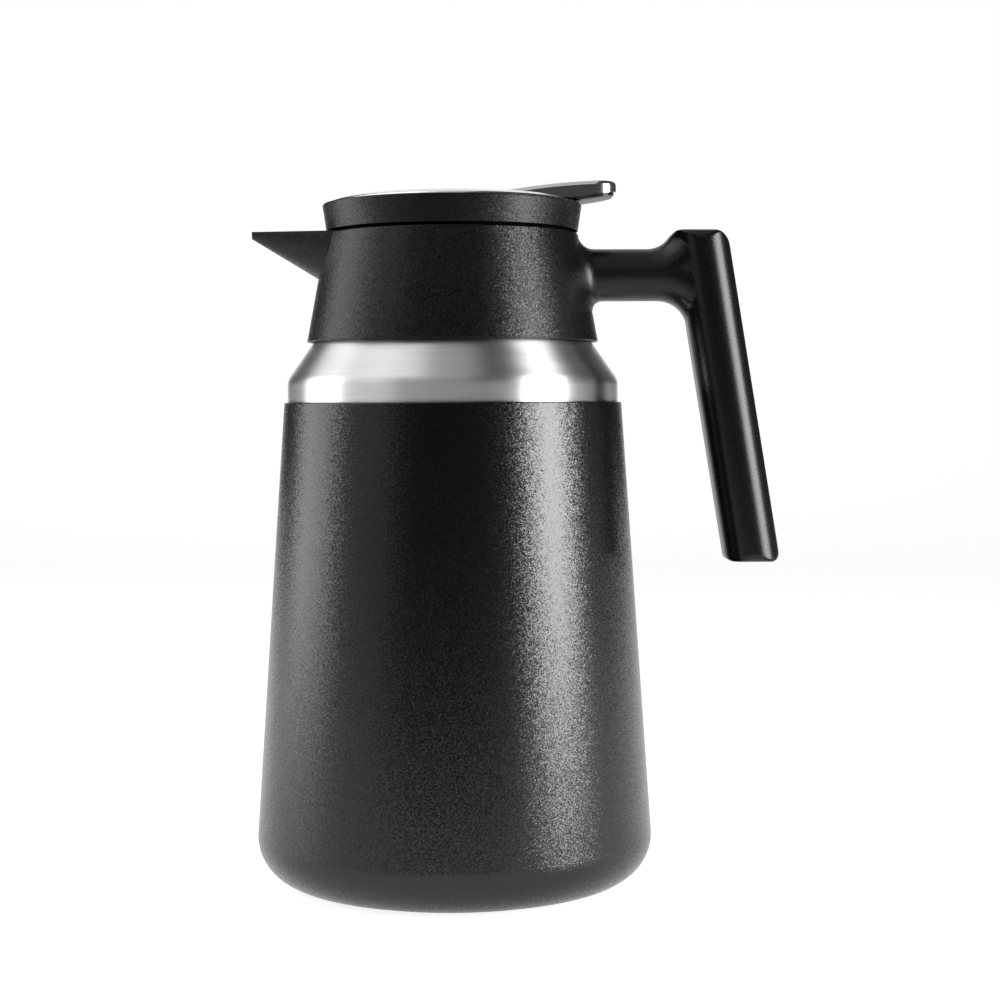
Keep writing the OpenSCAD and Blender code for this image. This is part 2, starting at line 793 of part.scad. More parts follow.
// Arm from its hollow fillet on the collar's wall, through the bend under it, into the grip
module arm() {
    flare_steps = 6;
    bend_steps = 9;
    sweep = 90 - grip_lean;
    sunk = 2;
    skin(concat(
        [root_ring(arm_flare, -sunk)],
        [for (k = [0 : flare_steps])
            let (t = k * 90 / flare_steps)
            root_ring(arm_flare * (1 - sin(t)), arm_flare * (1 - cos(t)))],
        [for (k = [0 : bend_steps])
            bend_ring(low_bend_at, arm_low_bend, 90 - sweep * k / bend_steps, 1, 0)],
        [bend_ring(low_bend_at, arm_low_bend + sunk, grip_lean - 6, 1, -1)]));
}

// Bend from the arm's upper side up into the grip's top
module upper_bend() {
    steps = 8;
    sweep = 72;
    skin(concat(
        [bend_ring(top_bend_at, arm_top_bend, -97, -1, -1)],
        [for (k = [0 : steps])
            bend_ring(top_bend_at, arm_top_bend, -90 + sweep * k / steps, -1, 0)]));
}

// The inside of the collar's outer face, larger by the seat gap
module collar_core() {
    low = collar_z - 5;
    high = collar_top + 5;
    rotate_extrude()
        polygon([[0, low], [collar_r(low) + seat_gap, low], [collar_r(high) + seat_gap, high],
            [0, high]]);
}

module handle() {
    grip_end = -grip_length / cos(grip_lean);
    color("#121213")
        difference() {
            intersection() {
                union() {
                    intersection() {
                        grip_bar(0);
                        front_prism()
                            grip_front(cap_z, handle_top + edge_gap, 0, 4);
                    }
                    arm();
                    upper_bend();
                }
                side_prism(grip_w + 20)
                    handle_outline();
            }
            collar_core();
            at_screws()
                cylinder(r = screw_r, h = screw_length + 1);
            along_grip()
                translate([0, 0, grip_end])
                    linear_extrude(grip_hollow)
                        stadium(grip_t - 2 * grip_wall, grip_w - 2 * grip_wall);
        }
}

// Cap on the grip's lower end, with a plug in the grip's hollow
module handle_end_cap() {
    plug_t = grip_t - 2 * grip_wall - 2 * seat_gap;
    plug_w = grip_w - 2 * grip_wall - 2 * seat_gap;
    h = grip_half + cap_proud;
    color("#121213")
        union() {
            intersection() {
                grip_bar(cap_proud);
                side_prism(grip_w + 20)
                    polygon(rounded([[grip_x(handle_low), handle_low, 0],
                        [grip_x(handle_low) + h, handle_low, 3], [grip_x(cap_z) + h, cap_z, 0],
                        [grip_x(cap_z) - h, cap_z, 0], [grip_x(handle_low) - h, handle_low, 3]]));
                front_prism()
                    grip_front(handle_low, cap_z, 3, 0);
            }
            along_grip()
                translate([0, 0, -(grip_length - cap_h * 0.6) / cos(grip_lean)])
                    linear_extrude(cap_h * 0.4 + cap_plug)
                        stadium(plug_t, plug_w);
        }
}

module handle_screws() {
    color("#9a9a98")
        at_screws()
            union() {
                translate([0, 0, -screw_head_h])
                    cylinder(r = screw_head_r, h = screw_head_h);
                translate([0, 0, -eps])
                    cylinder(r = screw_r - seat_gap / 3, h = screw_length);
            }
}

// Lid ring with its deck, the spigot in the collar and the valve rod's guide
module lid_ring_section() {
    bore_r = rod_r + run_gap;
    guide_low = ring_z - guide_h;
    spigot_low = ring_z - spigot_h;
    polygon(rounded([[bore_r, guide_low, 0], [guide_r, guide_low, 0], [guide_r, ring_z, 0],
        [spigot_r - spigot_wall, ring_z, 0], [spigot_r - spigot_wall, spigot_low, 0],
        [spigot_r, spigot_low, 0.5], [spigot_r, ring_z, 0], [ring_low_r, ring_z, 0.3],
        [ring_top_r, ring_top, ring_round], [recess_r, ring_top, 0.2],
        [recess_r - 0.6, recess_z, 0], [bowl_r, recess_z, 0], [bowl_r, deck_top, 1],
        [bore_r, deck_top, 0]]));
}

// Moves its children to the hinge's axis
module at_hinge() {
    translate([hinge_x, 0, hinge_z])
        children();
}

module lid_ring() {
    color("#1a1a1b")
        difference() {
            union() {
                difference() {
                    rotate_extrude()
                        lid_ring_section();
                    at_hinge()
                        cross_bar(barrel_r + pass_gap, 2 * ear_y);
                }
                for (side = [-1, 1])
                    translate([0, side * (ear_y + ear_w / 2), 0]) {
                        at_hinge()
                            cross_bar(barrel_r, ear_w);
                        translate([hinge_x - barrel_r + 0.4, -ear_w / 2, deck_top - 0.3])
                            cube([2 * barrel_r - 0.8, ear_w, hinge_z - deck_top + 0.3]);
                    }
            }
            at_hinge()
                cross_bar(hinge_r + eps, 2 * (ear_y + ear_w + 1));
        }
}

module hinge_pin() {
    color("#bdbdbb")
        at_hinge()
            cross_bar(hinge_r, 2 * (ear_y + ear_w) - 0.2);
}

// Hollow plug: valve seat at the bottom, seal groove, resting flange and windowed cage
module stopper_body() {
    inner_r = cage_r - cage_wall;
    floor_z = plug_z + plug_floor;
    window_w = 2 * PI * cage_r / window_count - rib_w;
    color("#262627")
        difference() {
            rotate_extrude()
                polygon(rounded([[valve_hole_r, plug_z, 0], [plug_r, plug_z, 0.8],
                    [plug_r, groove_low, 0], [groove_r, groove_low, 0],
                    [groove_r, groove_high, 0], [plug_r, groove_high, 0],
                    [plug_r, rest_z, 0], [rest_r, rest_z, 0.3],
                    [rest_r, rest_z + rest_h, 0.3], [cage_r, rest_z + rest_h, 0],
                    [cage_r, ring_z - cap_flange_h, 0],
                    [cap_flange_r, ring_z - cap_flange_h, 0.3], [cap_flange_r, ring_z, 0],
                    [inner_r, ring_z, 0], [inner_r, floor_z, 1],
                    [valve_hole_r + seat_w, floor_z, 0], [valve_hole_r + seat_w, seat_z, 0.2],
                    [valve_hole_r, seat_z, 0.2]]));
            for (i = [0 : window_count - 1])
                rotate([0, 0, 180 + i * 360 / window_count])
                    translate([inner_r - 2, -window_w / 2, window_z])
                        cube([cage_wall + 4, window_w, window_h]);
        }
}

// Silicone ring with two lips that seal against the neck
module stopper_gasket() {
    low = groove_low + eps;
    lip_r = neck_r - seat_gap;
    body_r = plug_r - 0.3;
    lip = seal_h / 4;
    color("#cfcfcc")
        rotate_extrude()
            polygon([[groove_r + eps, low], [body_r, low], [lip_r, low + lip],
                [lip_r, low + 1.3 * lip], [body_r, low + 2 * lip], [lip_r, low + 3 * lip],
                [lip_r, low + 3.3 * lip], [body_r, groove_high - eps],
                [groove_r + eps, groove_high - eps]]);
}

// Centre line of the valve spring: a close turn at each end and open turns between
function spring_point(turn) =
    let (low = spring_z + rod_flange_h + wire_r + eps, high = ring_z - wire_r - eps,
        close = 2 * wire_r + 0.45,
        pitch = (high - low - 2 * close) / spring_turns,
        z = turn < 1 ? low + close * turn
            : turn < spring_turns + 1 ? low + close + pitch * (turn - 1)
            : high - close * (spring_turns + 2 - turn))
    [spring_r * cos(360 * turn), spring_r * sin(360 * turn), z];

module valve_spring() {
    steps = 10;
    sides = 6;
    last = (spring_turns + 2) * steps;
    centres = [for (i = [0 : last]) spring_point(i / steps)];
    gaps = [for (i = [0 : last], j = [i + steps / 2 : last]) norm(centres[j] - centres[i])];
    echo(least_gap_in_spring = min(gaps) - 2 * wire_r);
    color("#b4b4b2")
        skin([for (i = [0 : last])
            [for (k = [0 : sides - 1])
                let (a = 360 * i / steps, b = -360 * k / sides,
                    out = [cos(a), sin(a), 0])
                centres[i] + wire_r * (cos(b) * out + sin(b) * [0, 0, 1])]]);
}

// Height of the disc's domed top at radius r
function dome_z(r) = disc_top_z - disc_crown * pow(r / disc_r, 2);
// Section of the dome from the axis to r_end, lower by drop and level round the axis
function dome(r_end, drop) =
    [for (i = [0 : 8]) [r_end * i / 8, dome_z(r_end * max(i, 1) / 8) - drop, 0]];

// Solid under the disc's top, higher and wider by gap
module dome_solid(gap) {
    rotate_extrude()
        polygon(concat([for (p = dome(disc_r + gap, -gap)) flat(p)],
            [[disc_r + gap, disc_edge_z - 5], [0, disc_edge_z - 5]]));
}

module top_disc() {
    notch_w = 2 * (ear_y + ear_w + 2 * pass_gap);
    path = concat(dome(disc_r - 2, 0),
        [[disc_r, disc_edge_z, disc_round], [disc_r, disc_edge_z - disc_rim, 0]]);
    color("#d2d2d2")
        difference() {
            rotate_extrude()
                sheet_of(path, -sheet);
            translate([post_from - seat_gap, -post_w / 2 - seat_gap, disc_edge_z - 3])
                cube([post_to - post_from + 2 * seat_gap, post_w + 2 * seat_gap, 6]);
            translate([disc_r - 9, -notch_w / 2, disc_edge_z - sheet - 4])
                cube([12, notch_w, 4]);
        }
}

// Band under the lever's long curve, smaller all round by inset
module lever_band(inset) {
    r = lever_curve - inset;
    half = lever_w / 2 - inset;
    round = max(lever_edge - inset, 0.25);
    deep = r - lever_w / 2;
    past_peak = 2;
    sweep = 17;
    translate([lever_peak, 0, lever_top_z - lever_curve])
        rotate([90, 0, 0])
            rotate([0, 0, 90 - past_peak])
                rotate_extrude(angle = sweep, $fn = 360)
                    polygon(rounded([[deep, -half, 0], [r, -half, round], [r, half, round],
                        [deep, half, 0]]));
}

// Lever's body before it is cut from below, smaller all round by inset
module lever_blank(inset) {
    low = disc_edge_z - 3 - inset;
    high = lever_top_z - inset + edge_gap;
    end_x = lever_reach - inset;
    half = lever_w / 2 - inset + edge_gap;
    corner_r = lever_corner - inset + edge_gap;
    intersection() {
        lever_band(inset);
        translate([0, 0, low])
            linear_extrude(20)
                polygon(rounded([[lever_root - 4, -half, 0], [end_x + edge_gap, -half, corner_r],
                    [end_x + edge_gap, half, corner_r], [lever_root - 4, half, 0],
                    [lever_root - 4, half - 1, 0]]));
        side_prism(lever_w + 4)
            polygon(rounded([[lever_root - 6, low - 1, 0], [end_x, low - 1, 0],
                [end_x, high, lever_edge], [lever_root - 6, high, 0]]));
    }
}

// Everything under the lever's sloping lower edge, lower by drop
module under_lever(drop) {
    long = lever_reach + lever_w;
    translate([lever_reach, 0, lever_top_z - lever_end_h - drop])
        rotate([0, -lever_slope, 0])
            translate([-long, -lever_w, -lever_w])
                cube([long + lever_w, 2 * lever_w, lever_w]);
}

module thumb_lever() {
    color("#cfcfcf")
        difference() {
            lever_blank(0);
            lever_blank(sheet);
            under_lever(0);
            dome_solid(eps);
        }
}

// Cross pin's slot: a round bore drawn out along X
module link_slot() {
    slide = 0.35;
    r = link_r + run_gap;
    w = 2 * (link_ear_y + link_ear_w + 1);
    for (x = [-slide, slide])
        translate([x, 0, link_z])
            cross_bar(r, w);
    translate([-slide, -w / 2, link_z - r])
        cube([2 * slide, w, 2 * r]);
}

// Plastic carrier under the disc: plate, hinge barrel, ears for the valve's cross pin,
// and the post and core that fill the thumb lever
module flap_carrier() {
    plate_r = disc_r - sheet - seat_gap;
    plate_low = disc_edge_z - sheet - seat_gap - plate_h;
    rim_w = 8.65;
    hub_r = 12;
    relief = 1;
    color("#161617")
        difference() {
            union() {
                difference() {
                    rotate_extrude()
                        polygon(concat(
                            [for (p = dome(plate_r, sheet + seat_gap)) flat(p)],
                            [[plate_r, plate_low], [plate_r - rim_w, plate_low],
                                [plate_r - rim_w - relief, plate_low + relief],
                                [hub_r + relief, plate_low + relief], [hub_r, plate_low],
                                [0, plate_low]]));
                    for (side = [-1, 1])
                        translate([hinge_x - barrel_r - pass_gap,
                            side * (ear_y + ear_w / 2) - ear_w / 2 - pass_gap, plate_low - 1])
                            cube([20, ear_w + 2 * pass_gap, 6]);
                }
                at_hinge()
                    cross_bar(barrel_r, barrel_length);
                for (side = [-1, 1])
                    translate([-3.2, side * (link_ear_y + link_ear_w / 2) - link_ear_w / 2,
                        link_z - link_r - 1.3])
                        cube([6.4, link_ear_w, plate_low - link_z + link_r + 1.8]);
                translate([post_from, -post_w / 2, plate_low + 1.5])
                    cube([post_to - post_from, post_w, disc_top_z - plate_low - 1.2]);
                difference() {
                    lever_blank(sheet + seat_gap);
                    under_lever(core_show);
                    dome_solid(seat_gap);
                }
            }
            at_hinge()
                cross_bar(hinge_r + run_gap, barrel_length + 2);
            link_slot();
        }
}

module valve_rod() {
    low = valve_seal_z - nut_h - 1.2;
    color("#c4c4c2")
        difference() {
            rotate_extrude()
                polygon(rounded([[0, low, 0], [rod_end_r, low, 0.4], [rod_end_r, rod_step_z, 0],
                    [rod_r, rod_step_z, 0], [rod_r, spring_z, 0], [rod_flange_r, spring_z, 0.2],
                    [rod_flange_r, spring_z + rod_flange_h, 0.2],
                    [rod_r, spring_z + rod_flange_h, 0], [rod_r, rod_top, 0.5],
                    [0, rod_top, 0]]));
            translate([0, 0, link_z])
                cross_bar(link_r + eps, 4 * rod_r);
        }
}

module rod_pin() {
    color("#bdbdbb")
        translate([0, 0, link_z])
            cross_bar(link_r, link_length);
}

// Flat ring on the rod's thinner end
module rod_ring(r, z, h) {
    translate([0, 0, z])
        difference() {
            cylinder(r = r, h = h);
            translate([0, 0, -1])
                cylinder(r = rod_end_r + eps, h = h + 2);
        }
}

module valve_washer() {
    color("#b4b4b2")
        rod_ring(washer_r, washer_z, washer_h);
}

module valve_seal() {
    color("#cfcfcc")
        rod_ring(valve_seal_r, valve_seal_z, valve_seal_h);
}

module valve_nut() {
    color("#a9a9a7")
        translate([0, 0, valve_seal_z - nut_h])
            difference() {
                cylinder(d = nut_d, h = nut_h, $fn = 6);
                translate([0, 0, -1])
                    cylinder(r = rod_end_r + eps, h = nut_h + 2);
            }
}

outer_shell();
shoulder_band();
inner_flask();
base_plate();
vacuum_seal();
getter();
foot_pad();
collar();
collar_gasket();
clamp_ring();
handle();
handle_end_cap();
handle_screws();
lid_ring();
stopper_body();
stopper_gasket();
hinge_pin();
valve_spring();
top_disc();
thumb_lever();
flap_carrier();
valve_rod();
rod_pin();
valve_washer();
valve_seal();
valve_nut();
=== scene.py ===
import math
import bmesh
import bpy
from mathutils import Matrix, Vector


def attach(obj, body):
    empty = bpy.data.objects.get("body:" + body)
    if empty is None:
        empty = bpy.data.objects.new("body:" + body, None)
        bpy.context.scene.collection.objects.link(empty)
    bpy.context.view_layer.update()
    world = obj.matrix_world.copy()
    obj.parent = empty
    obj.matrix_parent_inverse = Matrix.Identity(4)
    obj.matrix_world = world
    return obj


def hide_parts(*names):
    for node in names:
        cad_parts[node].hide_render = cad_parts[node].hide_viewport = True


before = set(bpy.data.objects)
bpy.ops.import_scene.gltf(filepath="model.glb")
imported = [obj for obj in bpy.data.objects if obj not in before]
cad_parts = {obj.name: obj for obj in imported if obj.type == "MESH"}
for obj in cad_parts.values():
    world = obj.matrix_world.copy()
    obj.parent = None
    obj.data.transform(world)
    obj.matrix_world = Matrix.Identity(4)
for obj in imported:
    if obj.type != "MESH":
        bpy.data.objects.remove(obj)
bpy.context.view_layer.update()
mm = 0.001
print("frame loaded:", len(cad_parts), "solids")

camera = {
    "place": (0.0, -713.6, 168.5),
    "lens": 72,
    "yaw": 1.332,
    "pitch": 2.739,
    "roll": -0.206,
}


def placeCamera(size):
    yaw, pitch, roll = (math.radians(size[key]) for key in ("yaw", "pitch", "roll"))
    forward = Vector((math.sin(yaw) * math.cos(pitch), math.cos(yaw) * math.cos(pitch), -math.sin(pitch)))
    right = Vector((math.cos(yaw), -math.sin(yaw), 0))
    down = forward.cross(right)
    sideways = right * math.cos(roll) - down * math.sin(roll)
    upwards = -(right * math.sin(roll) + down * math.cos(roll))
    bpy.ops.object.camera_add()
    made = bpy.context.object
    made.name = "photoCamera"
    made.data.lens = size["lens"]
    made.data.sensor_width = 36
    made.data.clip_start = 0.01
    turned = Matrix((sideways, upwards, -forward)).transposed().to_4x4()
    made.matrix_world = Matrix.Translation(Vector(size["place"]) * mm) @ turned
    bpy.context.scene.camera = made


placeCamera(camera)
print("camera placed")


class Wire:
    def __init__(self, tree, socket=None):
        self.tree, self.socket = tree, socket

    def node(self, kind, settings=None, inputs=None, output=0):
        made = self.tree.nodes.new("ShaderNode" + kind)
        for key, value in (settings or {}).items():
            setattr(made, key, value)
        for key, value in (inputs or {}).items():
            if isinstance(value, Wire):
                self.tree.links.new(value.socket, made.inputs[key])
            else:
                made.inputs[key].default_value = value
        return Wire(self.tree, made.outputs[output] if len(made.outputs) else None)

    def maths(self, operation, first, second=0.0):
        return self.node("Math", {"operation": operation}, {0: first, 1: second})

    def __add__(self, other):
        return self.maths("ADD", self, other)

    def __radd__(self, other):
        return self.maths("ADD", other, self)

    def __sub__(self, other):
        return self.maths("SUBTRACT", self, other)

    def __rsub__(self, other):
        return self.maths("SUBTRACT", other, self)

    def __mul__(self, other):
        return self.maths("MULTIPLY", self, other)

    def step(self, low, high):
        return self.node("MapRange", {"interpolation_type": "SMOOTHSTEP"}, {0: self, 1: low, 2: high})

    def place(self, scale=(1, 1, 1)):
        at = self.node("TexCoord", {}, {}, "Object")
        return at.node("Mapping", {}, {"Vector": at, "Scale": scale})

    def grain(self, size, detail=2.0, roughness=0.5, stretch=(1, 1, 1)):
        # size is in mm, and longer along each axis by stretch
        scale = tuple(1 / (size * mm) / s for s in stretch)
        return self.node("TexNoise", {}, {
            "Vector": self.place(scale), "Scale": 1.0, "Detail": detail, "Roughness": roughness})

    def specks(self, size):  # small cells, each with a random colour of its own
        scale = (1 / (size * mm),) * 3
        return self.node("TexVoronoi", {}, {"Vector": self.place(scale), "Scale": 1.0}, "Color")

    def tilted(self, cells, amount):  # the surface's normal, leaning a little another way in each cell
        lean = self.node("VectorMath", {"operation": "SUBTRACT"}, {0: cells, 1: (0.5, 0.5, 0.5)})
        lean = self.node("VectorMath", {"operation": "SCALE"}, {0: lean, "Scale": amount})
        normal = self.node("NewGeometry", {}, {}, "Normal")
        return self.node("VectorMath", {"operation": "NORMALIZE"}, {
            0: self.node("VectorMath", {"operation": "ADD"}, {0: normal, 1: lean})})

    def along(self, axis):
        return self.node("SeparateXYZ", {}, {0: self.place()}, axis)

    def between(self, factor, first, second):
        return self.node("Mix", {"data_type": "RGBA"}, {0: factor, 6: (*first, 1), 7: (*second, 1)}, 2)

    def bump(self, height, depth, strength=1.0):
        return self.node("Bump", {}, {"Height": height, "Distance": depth * mm, "Strength": strength})


finishes = {}


def newFinish(name):
    material = bpy.data.materials.new(name)
    material.use_nodes = True
    material.node_tree.nodes.clear()
    finishes[name] = material
    return Wire(material.node_tree)


def closeFinish(wire, inputs):
    shader = wire.node("BsdfPrincipled", {}, inputs)
    wire.node("OutputMaterial", {}, {"Surface": shader})


coatFinish = {"dark": (0.001, 0.001, 0.0011), "light": (0.0014, 0.0014, 0.0015), "roughness": 0.24,
              "spread": 0.1, "specular": 0.5, "speck": 0.3, "tilt": 0.2}


def mixCoat(size):
    wire = newFinish("powderCoat")
    cells = wire.specks(size["speck"])
    shine = wire.node("SeparateColor", {}, {0: cells}, 2)
    closeFinish(wire, {
        "Base Color": wire.between(shine, size["dark"], size["light"]),
        "Roughness": size["roughness"] + (shine - 0.5) * size["spread"],
        "Specular IOR Level": size["specular"],
        "Normal": wire.tilted(cells, size["tilt"])})


steelFinish = {"dark": (0.56, 0.555, 0.55), "light": (0.64, 0.635, 0.63), "roughness": 0.39, "spread": 0.12,
               "grooves": 0.9, "streak": 0.3, "broader": 5, "length": 40, "depth": 0.004, "strength": 0.6}


def mixSteel(size):
    wire = newFinish("brushedSteel")
    stretch = (size["length"], size["length"], 1)
    fine = wire.grain(size["streak"], 3, 0.6, stretch)
    broad = wire.grain(size["streak"] * size["broader"], 2, 0.5, stretch)
    lines = (fine + broad) * 0.5
    closeFinish(wire, {
        "Base Color": wire.between(lines.step(0.3, 0.7), size["dark"], size["light"]),
        "Metallic": 1.0,
        "Roughness": size["roughness"] + (lines - 0.5) * size["spread"],
        "Anisotropic": size["grooves"],
        "Anisotropic Rotation": 0.25,
        "Normal": wire.bump(lines, size["depth"], size["strength"])})


lidSteelFinish = {"dark": (0.66, 0.66, 0.66), "light": (0.80, 0.80, 0.80), "roughness": 0.17, "spread": 0.12,
                  "streak": 0.3, "length": 60, "depth": 0.008, "strength": 0.5}


def mixLidSteel(size):
    wire = newFinish("lidSteel")
    fine = wire.grain(size["streak"], 3, 0.6, (size["length"], 1, 1))
    closeFinish(wire, {
        "Base Color": wire.between(fine.step(0.3, 0.7), size["dark"], size["light"]),
        "Metallic": 1.0,
        "Roughness": size["roughness"] + (fine - 0.5) * size["spread"],
        "Normal": wire.bump(fine, size["depth"], size["strength"])})


bodyPlasticFinish = {"dark": (0.0012, 0.0012, 0.0013), "light": (0.0018, 0.0018, 0.0019), "roughness": 0.35,
                     "spread": 0.24, "cloud": 9, "cloudSpread": 0.06, "spark": 0.32, "tilt": 0.2, "specular": 0.28}


def mixBodyPlastic(size):
    wire = newFinish("sparkPlastic")
    cells = wire.specks(size["spark"])
    shine = wire.node("SeparateColor", {}, {0: cells}, 2)
    clouds = wire.grain(size["cloud"], 2)
    closeFinish(wire, {
        "Base Color": wire.between(shine, size["dark"], size["light"]),
        "Roughness": size["roughness"] + (shine - 0.5) * size["spread"] + (clouds - 0.5) * size["cloudSpread"],
        "Specular IOR Level": size["specular"],
        "Normal": wire.tilted(cells, size["tilt"])})


gripFinish = {"colour": (0.0015, 0.0015, 0.0016), "light": (0.003, 0.003, 0.0031), "armRoughness": 0.32,
              "gripRoughness": 0.28, "spread": 0.12, "spark": 0.45, "depth": 0.08, "gripDepth": 0.2,
              "specular": 0.35, "armFades": (73.0, 80.0), "lean": 9.2, "leanZ": 214.0}


def mixGrip(size):
    wire = newFinish("gripPlastic")
    spark = wire.grain(size["spark"], 1, 0.5)
    along = wire.along("X") + (wire.along("Z") - size["leanZ"] * mm) * math.tan(math.radians(size["lean"]))
    onArm = 1 - along.step(size["armFades"][0] * mm, size["armFades"][1] * mm)
    rough = size["gripRoughness"] + onArm * (size["armRoughness"] - size["gripRoughness"])
    closeFinish(wire, {
        "Base Color": wire.between(spark.step(0.35, 0.7), size["colour"], size["light"]),
        "Roughness": rough + (spark - 0.5) * size["spread"],
        "Specular IOR Level": size["specular"],
        "Normal": wire.bump(spark * (onArm * (1 - size["gripDepth"]) + size["gripDepth"]), size["depth"])})


plainSpread = 0.14
plainStrength = 0.6
plainFinishes = {
    "flaskSteel": {"colour": (0.5, 0.5, 0.49), "light": (0.62, 0.62, 0.61), "metal": 1.0, "roughness": 0.3,
                   "grain": 0.4, "stretch": (30, 30, 1), "depth": 0.006},
    "smallSteel": {"colour": (0.55, 0.55, 0.54), "light": (0.68, 0.68, 0.67), "metal": 1.0, "roughness": 0.22,
                   "grain": 0.25, "stretch": (6, 6, 1), "depth": 0.004},
    "innerPlastic": {"colour": (0.028, 0.028, 0.03), "light": (0.036, 0.036, 0.038), "metal": 0.0,
                     "roughness": 0.42, "grain": 0.6, "stretch": (1, 1, 1), "depth": 0.01},
    "silicone": {"colour": (0.62, 0.62, 0.6), "light": (0.68, 0.68, 0.66), "metal": 0.0, "roughness": 0.55,
                 "grain": 1.2, "stretch": (1, 1, 1), "depth": 0.008},
    "footRubber": {"colour": (0.012, 0.012, 0.012), "light": (0.02, 0.02, 0.02), "metal": 0.0, "roughness": 0.7,
                   "grain": 0.7, "stretch": (1, 1, 1), "depth": 0.03},
    "sinter": {"colour": (0.12, 0.115, 0.11), "light": (0.2, 0.19, 0.18), "metal": 0.6, "roughness": 0.6,
               "grain": 0.3, "stretch": (1, 1, 1), "depth": 0.03},
    # painted shade: a black finish with almost no gloss, laid on the groove faces between the lid ring and the
    # collar so that the gap reads dark
    "paintedGrooveShade": {"colour": (0.001, 0.001, 0.001), "light": (0.002, 0.002, 0.002), "metal": 0.0,
                   "roughness": 0.9, "grain": 0.5, "stretch": (1, 1, 1), "depth": 0.02, "specular": 0.05},
    "solderGlass": {"colour": (0.16, 0.15, 0.14), "light": (0.22, 0.21, 0.2), "metal": 0.0, "roughness": 0.12,
                    "grain": 0.9, "stretch": (1, 1, 1), "depth": 0.01},
}


def mixPlain(name, size):
    wire = newFinish(name)
    grain = wire.grain(size["grain"], 3, 0.55, size["stretch"])
    closeFinish(wire, {
        "Base Color": wire.between(grain.step(0.3, 0.7), size["colour"], size["light"]),
        "Metallic": size["metal"],
        "Roughness": size["roughness"] + (grain - 0.5) * plainSpread,
        "Specular IOR Level": size.get("specular", 0.5),
        "Normal": wire.bump(grain, size["depth"], plainStrength)})


mixCoat(coatFinish)
mixSteel(steelFinish)
mixLidSteel(lidSteelFinish)
mixBodyPlastic(bodyPlasticFinish)
mixGrip(gripFinish)
for name, size in plainFinishes.items():
    mixPlain(name, size)
print("finishes mixed:", len(finishes))


def meet(p, a, q, b):  # where the line through p at angle a crosses the line through q at angle b
    first = Vector((math.cos(math.radians(a)), math.sin(math.radians(a))))
    second = Vector((math.cos(math.radians(b)), math.sin(math.radians(b))))
    gap = Vector(q) - Vector(p)
    reach = gap.cross(second) / first.cross(second)
    return tuple(Vector(p) + first * reach)


def roundedOutline(corners, degrees=7):  # corners are (radius, height, rounding) in mm
    points = []
    last = len(corners) - 1
    for at, (x, z, rounding) in enumerate(corners):
        here = Vector((x, z))
        if rounding <= 0 or at in (0, last):
            points.append(here)
            continue
        before = Vector(corners[at - 1][:2]) - here
        after = Vector(corners[at + 1][:2]) - here
        half = before.angle(after) / 2
        reach = min(rounding / math.tan(half), before.length * 0.98, after.length * 0.98)
        start, end = here + before.normalized() * reach, here + after.normalized() * reach
        arm = reach * math.tan(half)
        centre = here + (before.normalized() + after.normalized()).normalized() * arm / math.sin(half)
        turn = (start - centre).angle_signed(end - centre)
        steps = max(2, math.ceil(abs(math.degrees(turn)) / degrees))
        for k in range(steps + 1):
            angle = -turn * k / steps
            points.append(centre + Matrix.Rotation(angle, 2) @ (start - centre))
    return [tuple(p) for p in points]


def startPiece(name):
    made = bpy.context.object
    made.name = made.data.name = name
    bpy.ops.object.mode_set(mode="EDIT")
    return made


def pick(test, what="VERT"):  # selects the vertices, edges or faces that pass a test, in edit mode
    mesh = bpy.context.object.data
    bpy.ops.mesh.select_mode(type=what)
    bpy.ops.mesh.select_all(action="DESELECT")
    shape = bmesh.from_edit_mesh(mesh)
    for part in {"VERT": shape.verts, "EDGE": shape.edges, "FACE": shape.faces}[what]:
        if test(part):
            part.select_set(True)
    shape.select_flush_mode()
    bmesh.update_edit_mesh(mesh)


def onlyThis(piece):
    bpy.ops.object.select_all(action="DESELECT")
    piece.select_set(True)
    bpy.context.view_layer.objects.active = piece


def applied(piece, kind, **settings):
    onlyThis(piece)
    made = piece.modifiers.new(kind.lower(), kind)
    for key, value in settings.items():
        setattr(made, key, value)
    bpy.ops.object.modifier_apply(modifier=made.name)


def combined(piece, tool, operation):
    applied(piece, "BOOLEAN", object=tool, operation=operation, solver="EXACT")
    bpy.data.objects.remove(tool)


def turned(name, outline, count=160):  # a ring drawn out along an outline of (radius, height) in mm
    bpy.ops.object.select_all(action="DESELECT")
    bpy.ops.mesh.primitive_circle_add(vertices=count, radius=outline[0][0] * mm)
    made = startPiece(name)
    bpy.ops.mesh.select_mode(type="EDGE")
    bpy.ops.mesh.select_all(action="SELECT")
    bpy.ops.transform.translate(value=(0, 0, outline[0][1] * mm))
    for (r, z), (nextR, nextZ) in zip(outline, outline[1:]):
        bpy.ops.mesh.extrude_region_move(TRANSFORM_OT_translate={"value": (0, 0, (nextZ - z) * mm)})
        if nextR <= 0:
            bpy.ops.mesh.merge(type="CENTER")
        else:
            bpy.ops.transform.resize(value=(nextR / r, nextR / r, 1), center_override=(0, 0, nextZ * mm))
    if outline[0][0] < 0.1:
        pick(lambda v: math.hypot(v.co.x, v.co.y) < 0.1 * mm and abs(v.co.z - outline[0][1] * mm) < 1e-6)
        bpy.ops.mesh.merge(type="CENTER")
    bpy.ops.mesh.select_all(action="SELECT")
    bpy.ops.mesh.remove_doubles(threshold=1e-6)
    bpy.ops.mesh.normals_make_consistent(inside=False)
    bpy.ops.object.mode_set(mode="OBJECT")
    return made


def paintFaces(piece, finish, test):  # another finish on the faces that pass a test, in mm
    piece.data.materials.append(finishes[finish])
    for face in piece.data.polygons:
        if test(face.center / mm):
            face.material_index = len(piece.data.materials) - 1


